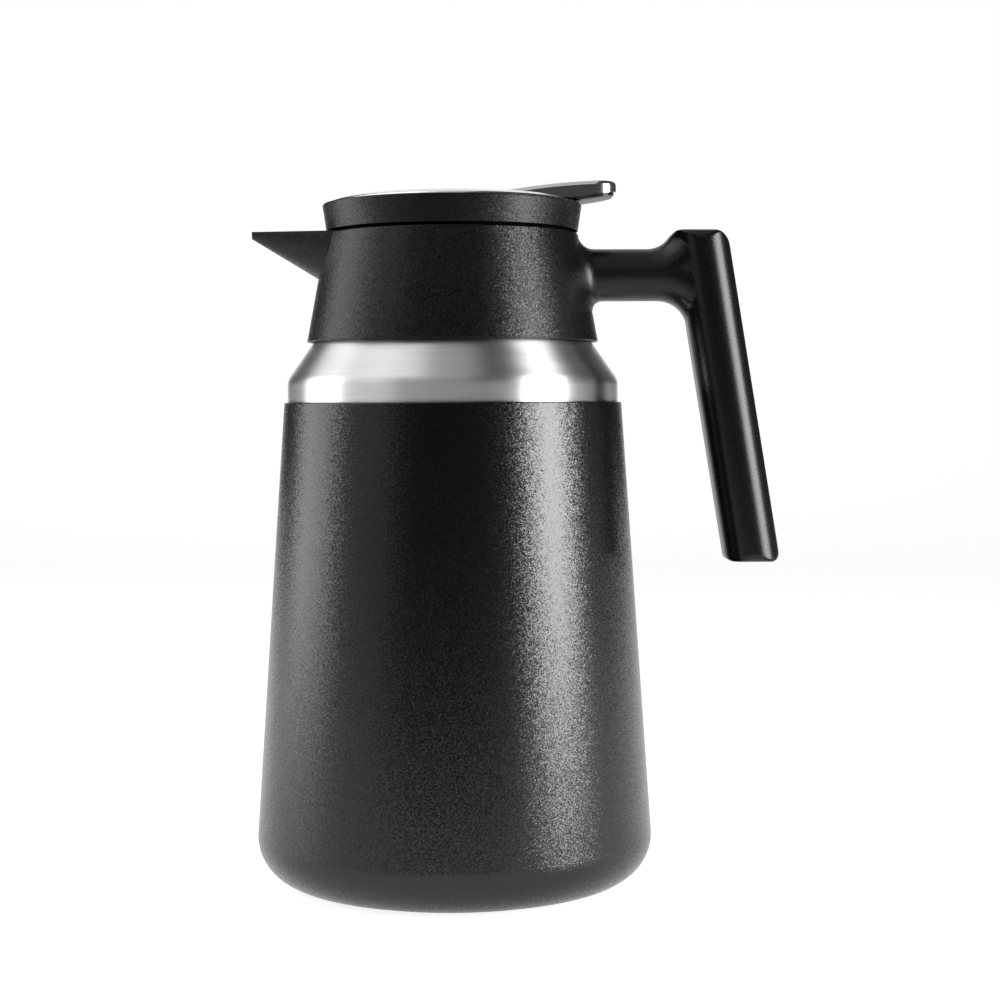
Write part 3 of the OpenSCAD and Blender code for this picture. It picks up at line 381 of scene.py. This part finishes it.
def closePiece(piece, body, slot, finish, *nodes, angle=35):
    onlyThis(piece)
    bpy.ops.object.shade_smooth_by_angle(angle=math.radians(angle))
    applied(piece, "WEIGHTED_NORMAL", keep_sharp=True)
    piece.data.materials.clear()
    piece.data.materials.append(finishes[finish])
    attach(piece, body)
    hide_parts(*nodes)


coat = {"topR": 59.8, "topZ": 169.3, "taper": 3.92, "bottomR": 61, "bottomZ": 1, "bottomAngle": 25,
        "corner": 16, "lip": 0.5, "wall": 1.0, "holeR": 52}


def makeCoat(size):
    top = (size["topR"], size["topZ"])
    knee = meet((size["bottomR"], size["bottomZ"]), size["bottomAngle"], top, 90 + size["taper"])
    outline = roundedOutline([
        (size["holeR"], size["bottomZ"], 0), (size["bottomR"], size["bottomZ"], 0),
        (*knee, size["corner"]), (*top, size["lip"]), (size["topR"] - size["wall"] / 2, size["topZ"], 0)], 4)
    made = turned("bodyCoat", outline, 224)
    applied(made, "SOLIDIFY", thickness=size["wall"] * mm, offset=-1, use_even_offset=True)
    closePiece(made, "flask", "coat", "powderCoat", "outer_shell")


band = {"skirtR": 58.57, "skirtZ": 161.3, "slopeAt": (51.6, 187.1), "slope": 34.6, "round": 6,
        "neckAt": (39.1, 194.5), "crown": 168, "crownRound": 12, "neckFillet": 2.5, "topZ": 208.2, "wall": 0.8}


def makeBand(size):
    low = meet((size["skirtR"], 150), 90, size["slopeAt"], 90 + size["slope"])
    high = meet(size["slopeAt"], 90 + size["slope"], size["neckAt"], size["crown"])
    outline = roundedOutline([
        (size["skirtR"], size["skirtZ"], 0), (*low, size["round"]), (*high, size["crownRound"]),
        (*size["neckAt"], size["neckFillet"]), (size["neckAt"][0], size["topZ"], 0)], 3)
    made = turned("steelShoulder", outline, 224)
    applied(made, "SOLIDIFY", thickness=size["wall"] * mm, offset=-1, use_even_offset=True)
    closePiece(made, "flask", "band_steel", "brushedSteel", "shoulder_band")


collar = {"lowR": 51.6, "lowZ": 190.5, "topR": 44.5, "topZ": 228.4, "wall": 2.2, "floorR": 36.2,
          "floorLow": 210.0, "floorZ": 212.3, "sleeveR": 40.9, "sleeveOutR": 43.1, "sleeveZ": 200.7,
          "edge": 0.25, "hemZ": 191.3, "hem": 0.6, "hemRound": 0.4, "innerRound": 0.3, "core": (185, 235),
          "coreOut": 1.1, "troughEnd": -35.5, "grooveShadeFrom": -40}
spout = {"tipX": -74.3, "tipZ": 229.2, "tilt": 4.45, "cone": 26.75, "bluntX": -70.8, "edgeZ": 228.9,
         "rise": 1.6, "troughX": -69.8, "reach": 36.5, "soft": 0.55}


def coneToTip(name, tipX, size, count=192):
    tilt, cone = math.radians(size["tilt"]), math.radians(size["cone"])
    length = (-tipX - size["reach"]) / math.cos(tilt)
    towards = Vector((-math.cos(tilt), 0, math.sin(tilt)))
    centre = Vector((tipX, 0, size["tipZ"])) - towards * length / 2
    bpy.ops.object.select_all(action="DESELECT")
    bpy.ops.mesh.primitive_cone_add(vertices=count, radius1=length * math.tan(cone) * mm, radius2=0,
                                    depth=length * mm, location=centre * mm,
                                    rotation=(0, tilt - math.pi / 2, 0))
    bpy.ops.object.transform_apply(location=True, rotation=True, scale=True)
    return startPiece(name)


def cutAway(point, normal):  # removes what lies on the normal's side and closes the cut
    bpy.ops.mesh.select_all(action="SELECT")
    bpy.ops.mesh.bisect(plane_co=[v * mm for v in point], plane_no=normal, use_fill=True, clear_outer=True)


def makeCollar(size, lip):
    def innerR(z):
        return size["lowR"] - size["wall"] + (size["topR"] - size["lowR"]) * (z - size["lowZ"]) / (
            size["topZ"] - size["lowZ"])
    outline = roundedOutline([
        (innerR(size["hemZ"]), size["hemZ"], 0), (innerR(size["lowZ"]) + size["hem"], size["lowZ"], 0),
        (size["lowR"], size["lowZ"], size["hemRound"]), (size["topR"], size["topZ"], size["edge"]),
        (size["topR"] - size["wall"], size["topZ"], size["innerRound"]),
        (innerR(size["floorZ"]), size["floorZ"], 0), (size["floorR"], size["floorZ"], 0),
        (size["floorR"], size["floorLow"], 0), (size["sleeveR"], size["floorLow"], 0),
        (size["sleeveR"], size["sleeveZ"], 0), (size["sleeveOutR"], size["sleeveZ"], 0),
        (size["sleeveOutR"], size["floorLow"], 0), (innerR(size["floorLow"]), size["floorLow"], 0),
        (innerR(size["hemZ"]), size["hemZ"], 0)], 12)
    made = turned("collarShell", outline, 192)
    outer = coneToTip("spoutOuter", lip["tipX"], lip)
    rise = math.radians(lip["rise"])
    cutAway((-size["topR"], 0, lip["edgeZ"]), (math.sin(rise), 0, math.cos(rise)))
    cutAway((lip["bluntX"], 0, 0), (-1, 0, 0))
    bpy.ops.object.mode_set(mode="OBJECT")
    low, high = size["core"]
    core = turned("spoutCore", [(0.01, low), (innerR(low) + size["coreOut"], low),
                                (innerR(high) + size["coreOut"], high), (0, high)], 192)
    combined(outer, core, "DIFFERENCE")
    combined(made, outer, "UNION")
    trough = coneToTip("spoutTrough", lip["troughX"], lip)
    cutAway((0, 0, size["floorZ"] + 0.02), (0, 0, -1))
    cutAway((size["troughEnd"], 0, 0), (1, 0, 0))
    bpy.ops.object.mode_set(mode="OBJECT")
    combined(made, trough, "DIFFERENCE")
    applied(made, "BEVEL", width=lip["soft"] * mm, segments=2, limit_method="ANGLE",
            angle_limit=math.radians(38), use_clamp_overlap=True)
    closePiece(made, "flask", "body_plastic", "sparkPlastic", "collar", angle=38)
    # painted shade: the collar's top faces under the lid ring, back from the spout, get the glossless black finish
    paintFaces(made, "paintedGrooveShade", lambda at: at.z > size["topZ"] - 0.02 and at.x > size["grooveShadeFrom"])


lidRing = {"lowR": 44.5, "topR": 45.9, "lowZ": 229.55, "topZ": 238.9, "edge": 0.5, "recessR": 44.5,
           "recessZ": 235.7, "bowlR": 42, "deckZ": 231.3, "spigotR": 41.85, "spigotWall": 2.2,
           "spigotZ": 226.2, "boreR": 2.56, "guideR": 4.6, "guideZ": 220.3,
           "spigotEdge": 0.5, "underEdge": 0.2, "recessEdge": 0.25, "recessTaper": 0.6, "bowlEdge": 0.3,
           "bowlRound": 1, "hinge": (40, 236.5), "pocketR": 3.01, "earFrom": 9.3, "earTo": 12.3,
           "earHalf": 2.31, "earRound": 1.2, "earSunk": 0.3}


def crossBar(name, x, z, r, halfY, count=48):
    bpy.ops.object.select_all(action="DESELECT")
    bpy.ops.mesh.primitive_cylinder_add(vertices=count, radius=r * mm, depth=2 * halfY * mm,
                                        location=(x * mm, 0, z * mm), rotation=(math.pi / 2, 0, 0))
    bpy.ops.object.transform_apply(location=True, rotation=True, scale=True)
    made = bpy.context.object
    made.name = name
    return made


def block(name, low, high):
    bpy.ops.object.select_all(action="DESELECT")
    bpy.ops.mesh.primitive_cube_add(size=1)
    made = startPiece(name)
    size = [b - a for a, b in zip(low, high)]
    bpy.ops.transform.resize(value=[s * mm for s in size])
    bpy.ops.transform.translate(value=[(a + b) / 2 * mm for a, b in zip(low, high)])
    bpy.ops.object.mode_set(mode="OBJECT")
    return made


def makeLidRing(size):
    outline = roundedOutline([
        (size["boreR"], size["guideZ"], 0), (size["guideR"], size["guideZ"], 0),
        (size["guideR"], size["lowZ"], 0), (size["spigotR"] - size["spigotWall"], size["lowZ"], 0),
        (size["spigotR"] - size["spigotWall"], size["spigotZ"], 0), 
        (size["spigotR"], size["spigotZ"], size["spigotEdge"]), (size["spigotR"], size["lowZ"], 0),
        (size["lowR"], size["lowZ"], size["underEdge"]), (size["topR"], size["topZ"], size["edge"]),
        (size["recessR"], size["topZ"], size["recessEdge"]),
        (size["recessR"] - size["recessTaper"], size["recessZ"], 0),
        (size["bowlR"], size["recessZ"], size["bowlEdge"]),
        (size["bowlR"], size["deckZ"], size["bowlRound"]), (size["boreR"], size["deckZ"], 0),
        (size["boreR"], size["guideZ"], 0)], 12)
    made = turned("lidRing", outline, 192)
    x, z = size["hinge"]
    combined(made, crossBar("pocket", x, z, size["pocketR"], size["earFrom"]), "DIFFERENCE")
    for side in (-1, 1):
        ends = sorted((side * size["earFrom"], side * size["earTo"]))
        half = size["earHalf"]
        ear = block("ear", (x - half, ends[0], size["deckZ"] - size["earSunk"]), (x + half, ends[1], z + half))
        applied(ear, "BEVEL", width=size["earRound"] * mm, segments=3, limit_method="ANGLE")
        combined(made, ear, "UNION")
    closePiece(made, "lid", "body_plastic", "sparkPlastic", "lid_ring")
    # painted shade: the ring's underside faces over the collar get the glossless black finish
    outside = size["guideR"] + 1
    paintFaces(made, "paintedGrooveShade", lambda at: at.z < size["lowZ"] + 0.02 and math.hypot(at.x, at.y) > outside)


disc = {"r": 43.6, "edgeZ": 240.7, "crown": 0.9, "chamferR": 39.5, "chamferZ": 239.6, "chamferRound": 5,
        "flatR": 36.5, "edge": 1.0, "rimZ": 237.5, "sheet": 0.8,
        "slot": ((13.85, -7.65, 236), (35.15, 7.65, 243)), "notch": ((34.6, -12.9, 235.5), (46.6, 12.9, 239.2))}
domeSteps = 12


def domeZ(r, size):
    return size["edgeZ"] + size["crown"] * (1 - (r / size["r"]) ** 2)


def domePoints(reach, size):
    radii = [reach * k / domeSteps for k in range(domeSteps, 0, -1)]
    return [(r, domeZ(r, size)) for r in radii]


def makeDisc(size):
    corners = [(size["r"], size["rimZ"], 0), (size["r"], size["chamferZ"], size["edge"]),
               (size["chamferR"], domeZ(size["chamferR"], size), size["chamferRound"])]
    corners += [(r, z, 0) for r, z in domePoints(size["flatR"], size)]
    outline = roundedOutline(corners, 8) + [(0, domeZ(0, size))]
    made = turned("lidDisc", outline, 192)
    applied(made, "SOLIDIFY", thickness=size["sheet"] * mm, offset=-1, use_even_offset=True)
    combined(made, block("slot", *size["slot"]), "DIFFERENCE")
    combined(made, block("notch", *size["notch"]), "DIFFERENCE")
    closePiece(made, "flap", "lid_steel", "lidSteel", "top_disc")


lever = {"rootX": 2, "endX": 57.8, "width": 24, "topZ": 246.85, "peakX": 59.0, "curve": 227, "endH": 3.85,
         "corner": 7.6, "edge": 1.6, "sheet": 0.8, "slope": 8.6, "deepZ": 236, "cuts": (4, 50, 2),
         "under": ((-2, -20, 225), (62, 20, 230))}


def makeLever(size, top):
    def backZ(x):
        return size["topZ"] - (size["peakX"] - x) ** 2 / 2 / size["curve"]

    def edgeZ(x):
        return size["topZ"] - size["endH"] - (size["endX"] - x) * math.tan(math.radians(size["slope"]))

    bpy.ops.object.select_all(action="DESELECT")
    bpy.ops.mesh.primitive_plane_add(size=1)
    made = startPiece("thumbLever")
    length = size["endX"] - size["rootX"]
    bpy.ops.transform.resize(value=(length * mm, size["width"] * mm, 1))
    bpy.ops.transform.translate(value=((size["rootX"] + length / 2) * mm, 0, 0))
    pick(lambda v: v.co.x > (size["rootX"] + length / 2) * mm)
    bpy.ops.mesh.bevel(offset=size["corner"] * mm, segments=12, affect="VERTICES")
    bpy.ops.mesh.select_all(action="SELECT")
    bpy.ops.mesh.extrude_region_move(TRANSFORM_OT_translate={"value": (0, 0, 1)})
    for x in range(*size["cuts"]):
        bpy.ops.mesh.select_all(action="SELECT")
        bpy.ops.mesh.bisect(plane_co=(x * mm, 0, 0), plane_no=(1, 0, 0))
    places = {round(v.co.x / mm, 3) for v in bmesh.from_edit_mesh(made.data).verts}
    for x in sorted(places):
        pick(lambda v: abs(v.co.x / mm - x) < 2e-3 and v.co.z > 0.5)
        bpy.ops.transform.translate(value=(0, 0, backZ(x) * mm - 1))
    pick(lambda v: v.co.z < 0.001)
    bpy.ops.transform.translate(value=(0, 0, size["deepZ"] * mm))
    pick(lambda f: f.normal.z < -0.5 or f.calc_center_median().x < (size["rootX"] + 0.1) * mm, "FACE")
    bpy.ops.mesh.delete(type="FACE")
    pick(lambda e: len(e.link_faces) == 2 and sorted(f.normal.z > 0.5 for f in e.link_faces) == [False, True],
         "EDGE")
    bpy.ops.mesh.bevel(offset=size["edge"] * mm, segments=5, affect="EDGES", clamp_overlap=False)
    bpy.ops.mesh.select_all(action="SELECT")
    bpy.ops.mesh.normals_make_consistent(inside=False)
    bpy.ops.object.mode_set(mode="OBJECT")
    applied(made, "SOLIDIFY", thickness=size["sheet"] * mm, offset=-1, use_even_offset=True)
    low, high = size["under"]
    below = block("below", low, high)
    bpy.ops.object.mode_set(mode="EDIT")
    for x in (low[0], high[0]):
        pick(lambda v: abs(v.co.x - x * mm) < 1e-5 and v.co.z > (high[2] - 1) * mm)
        bpy.ops.transform.translate(value=(0, 0, (edgeZ(x) - high[2]) * mm))
    bpy.ops.object.mode_set(mode="OBJECT")
    combined(made, below, "DIFFERENCE")
    dome = [(0.01, high[2]), (top["r"], high[2])] + domePoints(top["r"], top) + [(0, domeZ(0, top))]
    combined(made, turned("domeCut", dome, 192), "DIFFERENCE")
    closePiece(made, "flap", "lid_steel", "lidSteel", "thumb_lever", angle=40)


handle = {"reach": 87.6, "reachZ": 230.6, "topZ": 229.8, "lowZ": 112.4, "capZ": 113.4, "gap": 0.12, "lean": 9.2,
          "thick": 19.3, "wide": 25, "armZ": 214.2, "armTall": 18.4, "armWide": 21, "flare": 4.5, "sunk": 0.4,
          "lowAt": (73.03, 194.5), "lowBend": 10.5, "topAt": (69.0, 233.0), "topBend": 9.6, "notch": (78.2, 228.3),
          "topRounds": (2, 7, 4), "lowRounds": (2.6, 3.2, 3), "spare": 4, "flareSteps": 12, "bendSteps": 16,
          "voxel": 0.45, "smooth": 14}


def ringSkin(name, rings):  # closed form through rings of as many points each, in mm
    bpy.ops.object.select_all(action="DESELECT")
    bpy.ops.mesh.primitive_circle_add(vertices=len(rings[0]), fill_type="NGON")
    made = startPiece(name)
    bpy.ops.mesh.select_mode(type="FACE")
    bpy.ops.mesh.select_all(action="SELECT")
    shape = bmesh.from_edit_mesh(made.data)
    for vertex, point in zip(shape.verts, rings[0]):
        vertex.co = Vector(point) * mm
    for before, ring in zip(rings, rings[1:]):
        bmesh.update_edit_mesh(made.data)
        bpy.ops.mesh.extrude_region_move(TRANSFORM_OT_translate={"value": (0, 0, 0)})
        shape = bmesh.from_edit_mesh(made.data)
        for vertex in (v for v in shape.verts if v.select):
            at = min(range(len(ring)), key=lambda k: (Vector(before[k]) * mm - vertex.co).length)
            vertex.co = Vector(ring[at]) * mm
    bmesh.update_edit_mesh(made.data)
    bpy.ops.mesh.select_all(action="SELECT")
    bpy.ops.mesh.normals_make_consistent(inside=False)
    bpy.ops.object.mode_set(mode="OBJECT")
    return made


def prism(name, outline, place):  # outline drawn out between two planes, place turns its points to 3D
    return ringSkin(name, [[place(a, b, side) for a, b in outline] for side in (-1, 1)])


def stadium(thick, wide, count=64):
    points = []
    for k in range(count):
        a = math.radians((k + 0.5) * 360 / count)
        shift = math.copysign((wide - thick) / 2, math.sin(a))
        points.append((thick / 2 * math.cos(a), thick / 2 * math.sin(a) + shift))
    return points


def splitAt(piece, z, keepAbove):
    onlyThis(piece)
    bpy.ops.object.mode_set(mode="EDIT")
    bpy.ops.mesh.select_all(action="SELECT")
    bpy.ops.mesh.bisect(plane_co=(0, 0, z * mm), plane_no=(0, 0, 1), use_fill=True,
                        clear_inner=keepAbove, clear_outer=not keepAbove)
    bpy.ops.object.mode_set(mode="OBJECT")


def makeHandle(size, lowBody):
    lean = math.radians(size["lean"])
    half = size["thick"] / 2 / math.cos(lean)

    def gripX(z):
        return size["reach"] + (size["reachZ"] - z) * math.tan(lean)

    def collarR(z):
        return lowBody["lowR"] + (lowBody["topR"] - lowBody["lowR"]) * (z - lowBody["lowZ"]) / (
            lowBody["topZ"] - lowBody["lowZ"])

    def armEdge(grow):
        return [(y, h) for h, y in stadium(size["armTall"] + 2 * grow, size["armWide"] + 2 * grow, 72)]

    def rootRing(grow, rise):
        return [(math.sqrt(collarR(size["armZ"] + h) ** 2 - y * y) + rise, y, size["armZ"] + h)
                for y, h in armEdge(grow)]

    def bendRing(centre, bend, degrees, side, grow=0):
        a = math.radians(degrees)
        reach = [(y, bend + size["armTall"] / 2 + side * h) for y, h in armEdge(grow)]
        return [(centre[0] + d * math.cos(a), y, centre[1] + d * math.sin(a)) for y, d in reach]

    def gripRing(z):
        return [(gripX(z) + x / math.cos(lean), y, z) for x, y in stadium(size["thick"], size["wide"], 96)]

    top, low, side = size["topZ"], size["lowZ"], size["wide"] / 2 + 0.05
    made = ringSkin("handleBody", [gripRing(low - size["spare"]), gripRing(top + size["spare"])])
    lowRound, topRound = size["lowRounds"][2], size["topRounds"][2]
    front = roundedOutline([(0, low, 0), (side, low, lowRound), (side, top, topRound),
                            (-side, top, topRound), (-side, low, lowRound), (-0.1, low, 0)], 6)
    combined(made, prism("front", front, lambda y, z, end: (90 + 60 * end, y, z)), "INTERSECT")
    flare = [rootRing(size["flare"], -size["sunk"])]
    for k in range(size["flareSteps"] + 1):
        t = math.radians(90 * k / size["flareSteps"])
        flare.append(rootRing(size["flare"] * (1 - math.sin(t)), size["flare"] * (1 - math.cos(t))))
    steps = size["bendSteps"]
    bends = [bendRing(size["lowAt"], size["lowBend"], 90 - (90 - size["lean"]) * k / steps, 1)
             for k in range(steps + 1)]
    # the arm's last ring and the bend's first one end inside their neighbours
    inside = bendRing(size["lowAt"], size["lowBend"] + 2, size["lean"] - 6, 1, -1)
    combined(made, ringSkin("arm", flare + bends + [inside]), "UNION")
    above = [bendRing(size["topAt"], size["topBend"], -97, -1, -1)]
    above += [bendRing(size["topAt"], size["topBend"], -90 + 72 * k / steps, -1) for k in range(steps + 1)]
    combined(made, ringSkin("upperBend", above), "UNION")
    notchX, notchZ = size["notch"]
    outline = roundedOutline([
        (30, low + 10, 0), (30, notchZ, 0), (notchX, notchZ, 0), (notchX, top, size["topRounds"][0]),
        (gripX(top) + half, top, size["topRounds"][1]), (gripX(low) + half, low, size["lowRounds"][1]),
        (gripX(low) - half, low, size["lowRounds"][0]), (gripX(low + 10) - half, low + 10, 0)], 5)
    combined(made, prism("side", outline, lambda x, z, end: (x, 30 * end, z)), "INTERSECT")
    applied(made, "REMESH", mode="VOXEL", voxel_size=size["voxel"] * mm)
    applied(made, "SMOOTH", iterations=size["smooth"], factor=0.5)
    onlyThis(made)
    bpy.ops.object.duplicate()
    cap = bpy.context.object
    cap.name = cap.data.name = "gripEndCap"
    splitAt(made, size["capZ"] + size["gap"] / 2, True)
    splitAt(cap, size["capZ"] - size["gap"] / 2, False)
    closePiece(made, "flask", "grip_plastic", "gripPlastic", "handle", angle=60)
    closePiece(cap, "flask", "grip_plastic", "gripPlastic", "handle_end_cap", angle=60)


def copyOf(node, name):  # a merged copy of a solid, so that it can be smoothed
    onlyThis(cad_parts[node])
    bpy.ops.object.duplicate()
    made = bpy.context.object
    made.name = made.data.name = name
    for key in list(made.keys()):
        del made[key]
    made.parent = None
    bpy.ops.object.mode_set(mode="EDIT")
    bpy.ops.mesh.select_all(action="SELECT")
    bpy.ops.mesh.remove_doubles(threshold=1e-6)
    bpy.ops.object.mode_set(mode="OBJECT")
    return made


copies = {
    "flap_carrier": ("flapCarrier", "flap", "body_plastic", "sparkPlastic"),
    "foot_pad": ("footDisc", "flask", "foot_rubber", "footRubber"),
    "base_plate": ("basePlate", "flask", "flask_steel", "flaskSteel"),
    "inner_flask": ("innerFlask", "flask", "flask_steel", "flaskSteel"),
    "vacuum_seal": ("sealingPellet", "flask", "sealing_glass", "solderGlass"),
    "getter": ("getterPellet", "flask", "getter", "sinter"),
    "collar_gasket": ("rimGasket", "flask", "silicone", "silicone"),
    "clamp_ring": ("clampRing", "flask", "inner_plastic", "innerPlastic"),
    "handle_screws": ("handleScrews", "flask", "small_steel", "smallSteel"),
    "stopper_body": ("stopperPlug", "lid", "inner_plastic", "innerPlastic"),
    "stopper_gasket": ("stopperSeal", "lid", "silicone", "silicone"),
    "hinge_pin": ("hingePin", "lid", "small_steel", "smallSteel"),
    "valve_spring": ("valveSpring", "lid", "small_steel", "smallSteel"),
    "valve_rod": ("valveRod", "valve", "small_steel", "smallSteel"),
    "rod_pin": ("crossPin", "valve", "small_steel", "smallSteel"),
    "valve_washer": ("valveWasher", "valve", "small_steel", "smallSteel"),
    "valve_seal": ("valveSeal", "valve", "silicone", "silicone"),
    "valve_nut": ("valveNut", "valve", "small_steel", "smallSteel"),
}

makeCoat(coat)
makeBand(band)
print("body turned")
makeCollar(collar, spout)
print("collar and spout made")
makeLidRing(lidRing)
makeDisc(disc)
makeLever(lever, disc)
print("lid made")
makeHandle(handle, collar)
print("handle made")
for node, (name, body, slot, finish) in copies.items():
    closePiece(copyOf(node, name), body, slot, finish, node, angle=30)
print("small pieces finished:", len(copies))


studio = {"fill": 0.07, "floor": 0.35, "glow": 0.88, "frontGlow": 0.12, "fadeFrom": -150, "fadeTo": -700,
          "floorHalf": 3000, "below": 0.2}
paper = {"half": 720, "front": 1200, "back": 1900, "height": 3600, "bend": 500, "below": 0.1}
lamps = {
    "keyRight": {"azimuth": 64.5, "distance": 1000, "z": 270, "size": (500, 660), "radiance": 15.5},
    "sideLeft": {"azimuth": -100, "distance": 1000, "z": 300, "size": (700, 800), "radiance": 3.2},
    "softLeft": {"azimuth": -57, "distance": 1300, "z": 420, "size": (900, 900), "radiance": 0.5},
    "highLeft": {"azimuth": -80, "distance": 900, "z": 1150, "size": (1500, 1300), "radiance": 1.3},
    "highFront": {"azimuth": -12, "distance": 900, "z": 1050, "size": (900, 800), "radiance": 0.55},
    "overhead": {"azimuth": -80, "distance": 320, "z": 1500, "size": (1300, 1300), "radiance": 0.6},
}


def seenRay(wire):  # 1 for what the camera sees directly, mirrored or through glass
    rays = [wire.node("LightPath", {}, {}, kind) for kind in (
        "Is Camera Ray", "Is Glossy Ray", "Is Transmission Ray")]
    return wire.maths("MINIMUM", rays[0] + rays[1] + rays[2], 1.0)


def lightWorld(size):
    world = bpy.data.worlds.new("studio")
    bpy.context.scene.world = world
    world.use_nodes = True
    world.node_tree.nodes.clear()
    wire = Wire(world.node_tree)
    wire.node("OutputWorld", {}, {"Surface": wire.node("Background", {}, {"Strength": size["fill"]})})


def mixPaper(size):
    wire = newFinish("studioPaper")
    behind = wire.along("Y").step(size["fadeTo"] * mm, size["fadeFrom"] * mm)
    glow = size["frontGlow"] + behind * (size["glow"] - size["frontGlow"])
    closeFinish(wire, {"Base Color": (size["floor"], size["floor"], size["floor"], 1), "Roughness": 0.9,
                       "Specular IOR Level": 0.0, "Emission Color": seenRay(wire) * glow,
                       "Emission Strength": 1.0})


def layFloor(size):
    bpy.ops.object.select_all(action="DESELECT")
    bpy.ops.mesh.primitive_plane_add(size=2 * size["floorHalf"] * mm, location=(0, 0, -size["below"] * mm))
    made = bpy.context.object
    made.name = "floor"
    made.data.materials.append(finishes["studioPaper"])


def hangPaper(size):
    bpy.ops.object.select_all(action="DESELECT")
    bpy.ops.mesh.primitive_plane_add(size=1)
    made = startPiece("backdrop")
    depth = size["back"] - size["front"]
    bpy.ops.transform.resize(value=(2 * size["half"] * mm, depth * mm, 1))
    bpy.ops.transform.translate(value=(0, (size["front"] + depth / 2) * mm, -size["below"] * mm))
    pick(lambda e: min(v.co.y for v in e.verts) > (size["back"] - 1) * mm, "EDGE")
    bpy.ops.mesh.extrude_region_move(TRANSFORM_OT_translate={"value": (0, 0, size["height"] * mm)})
    pick(lambda e: min(v.co.y for v in e.verts) > (size["back"] - 1) * mm and max(v.co.z for v in e.verts) < 0.001,
         "EDGE")
    bpy.ops.mesh.bevel(offset=size["bend"] * mm, segments=16, affect="EDGES")
    bpy.ops.object.mode_set(mode="OBJECT")
    bpy.ops.object.shade_smooth()
    made.data.materials.append(finishes["studioPaper"])


def addLamp(name, size):
    angle = math.radians(size["azimuth"])
    place = Vector((math.sin(angle), -math.cos(angle), 0)) * size["distance"] + Vector((0, 0, size["z"]))
    bpy.ops.object.light_add(type="AREA", location=place * mm)
    made = bpy.context.object
    made.name = name
    made.data.shape = "RECTANGLE"
    made.data.size, made.data.size_y = (s * mm for s in size["size"])
    made.data.energy = size["radiance"] * math.pi * made.data.size * made.data.size_y
    made.visible_camera = False
    aim = Vector((0, 0, 140)) - place
    made.rotation_euler = aim.to_track_quat("-Z", "Y").to_euler()


lightWorld(studio)
mixPaper(studio)
layFloor(studio)
hangPaper(paper)
for name, size in lamps.items():
    addLamp(name, size)
bpy.context.scene.view_settings.view_transform = "Standard"
print("studio lit")
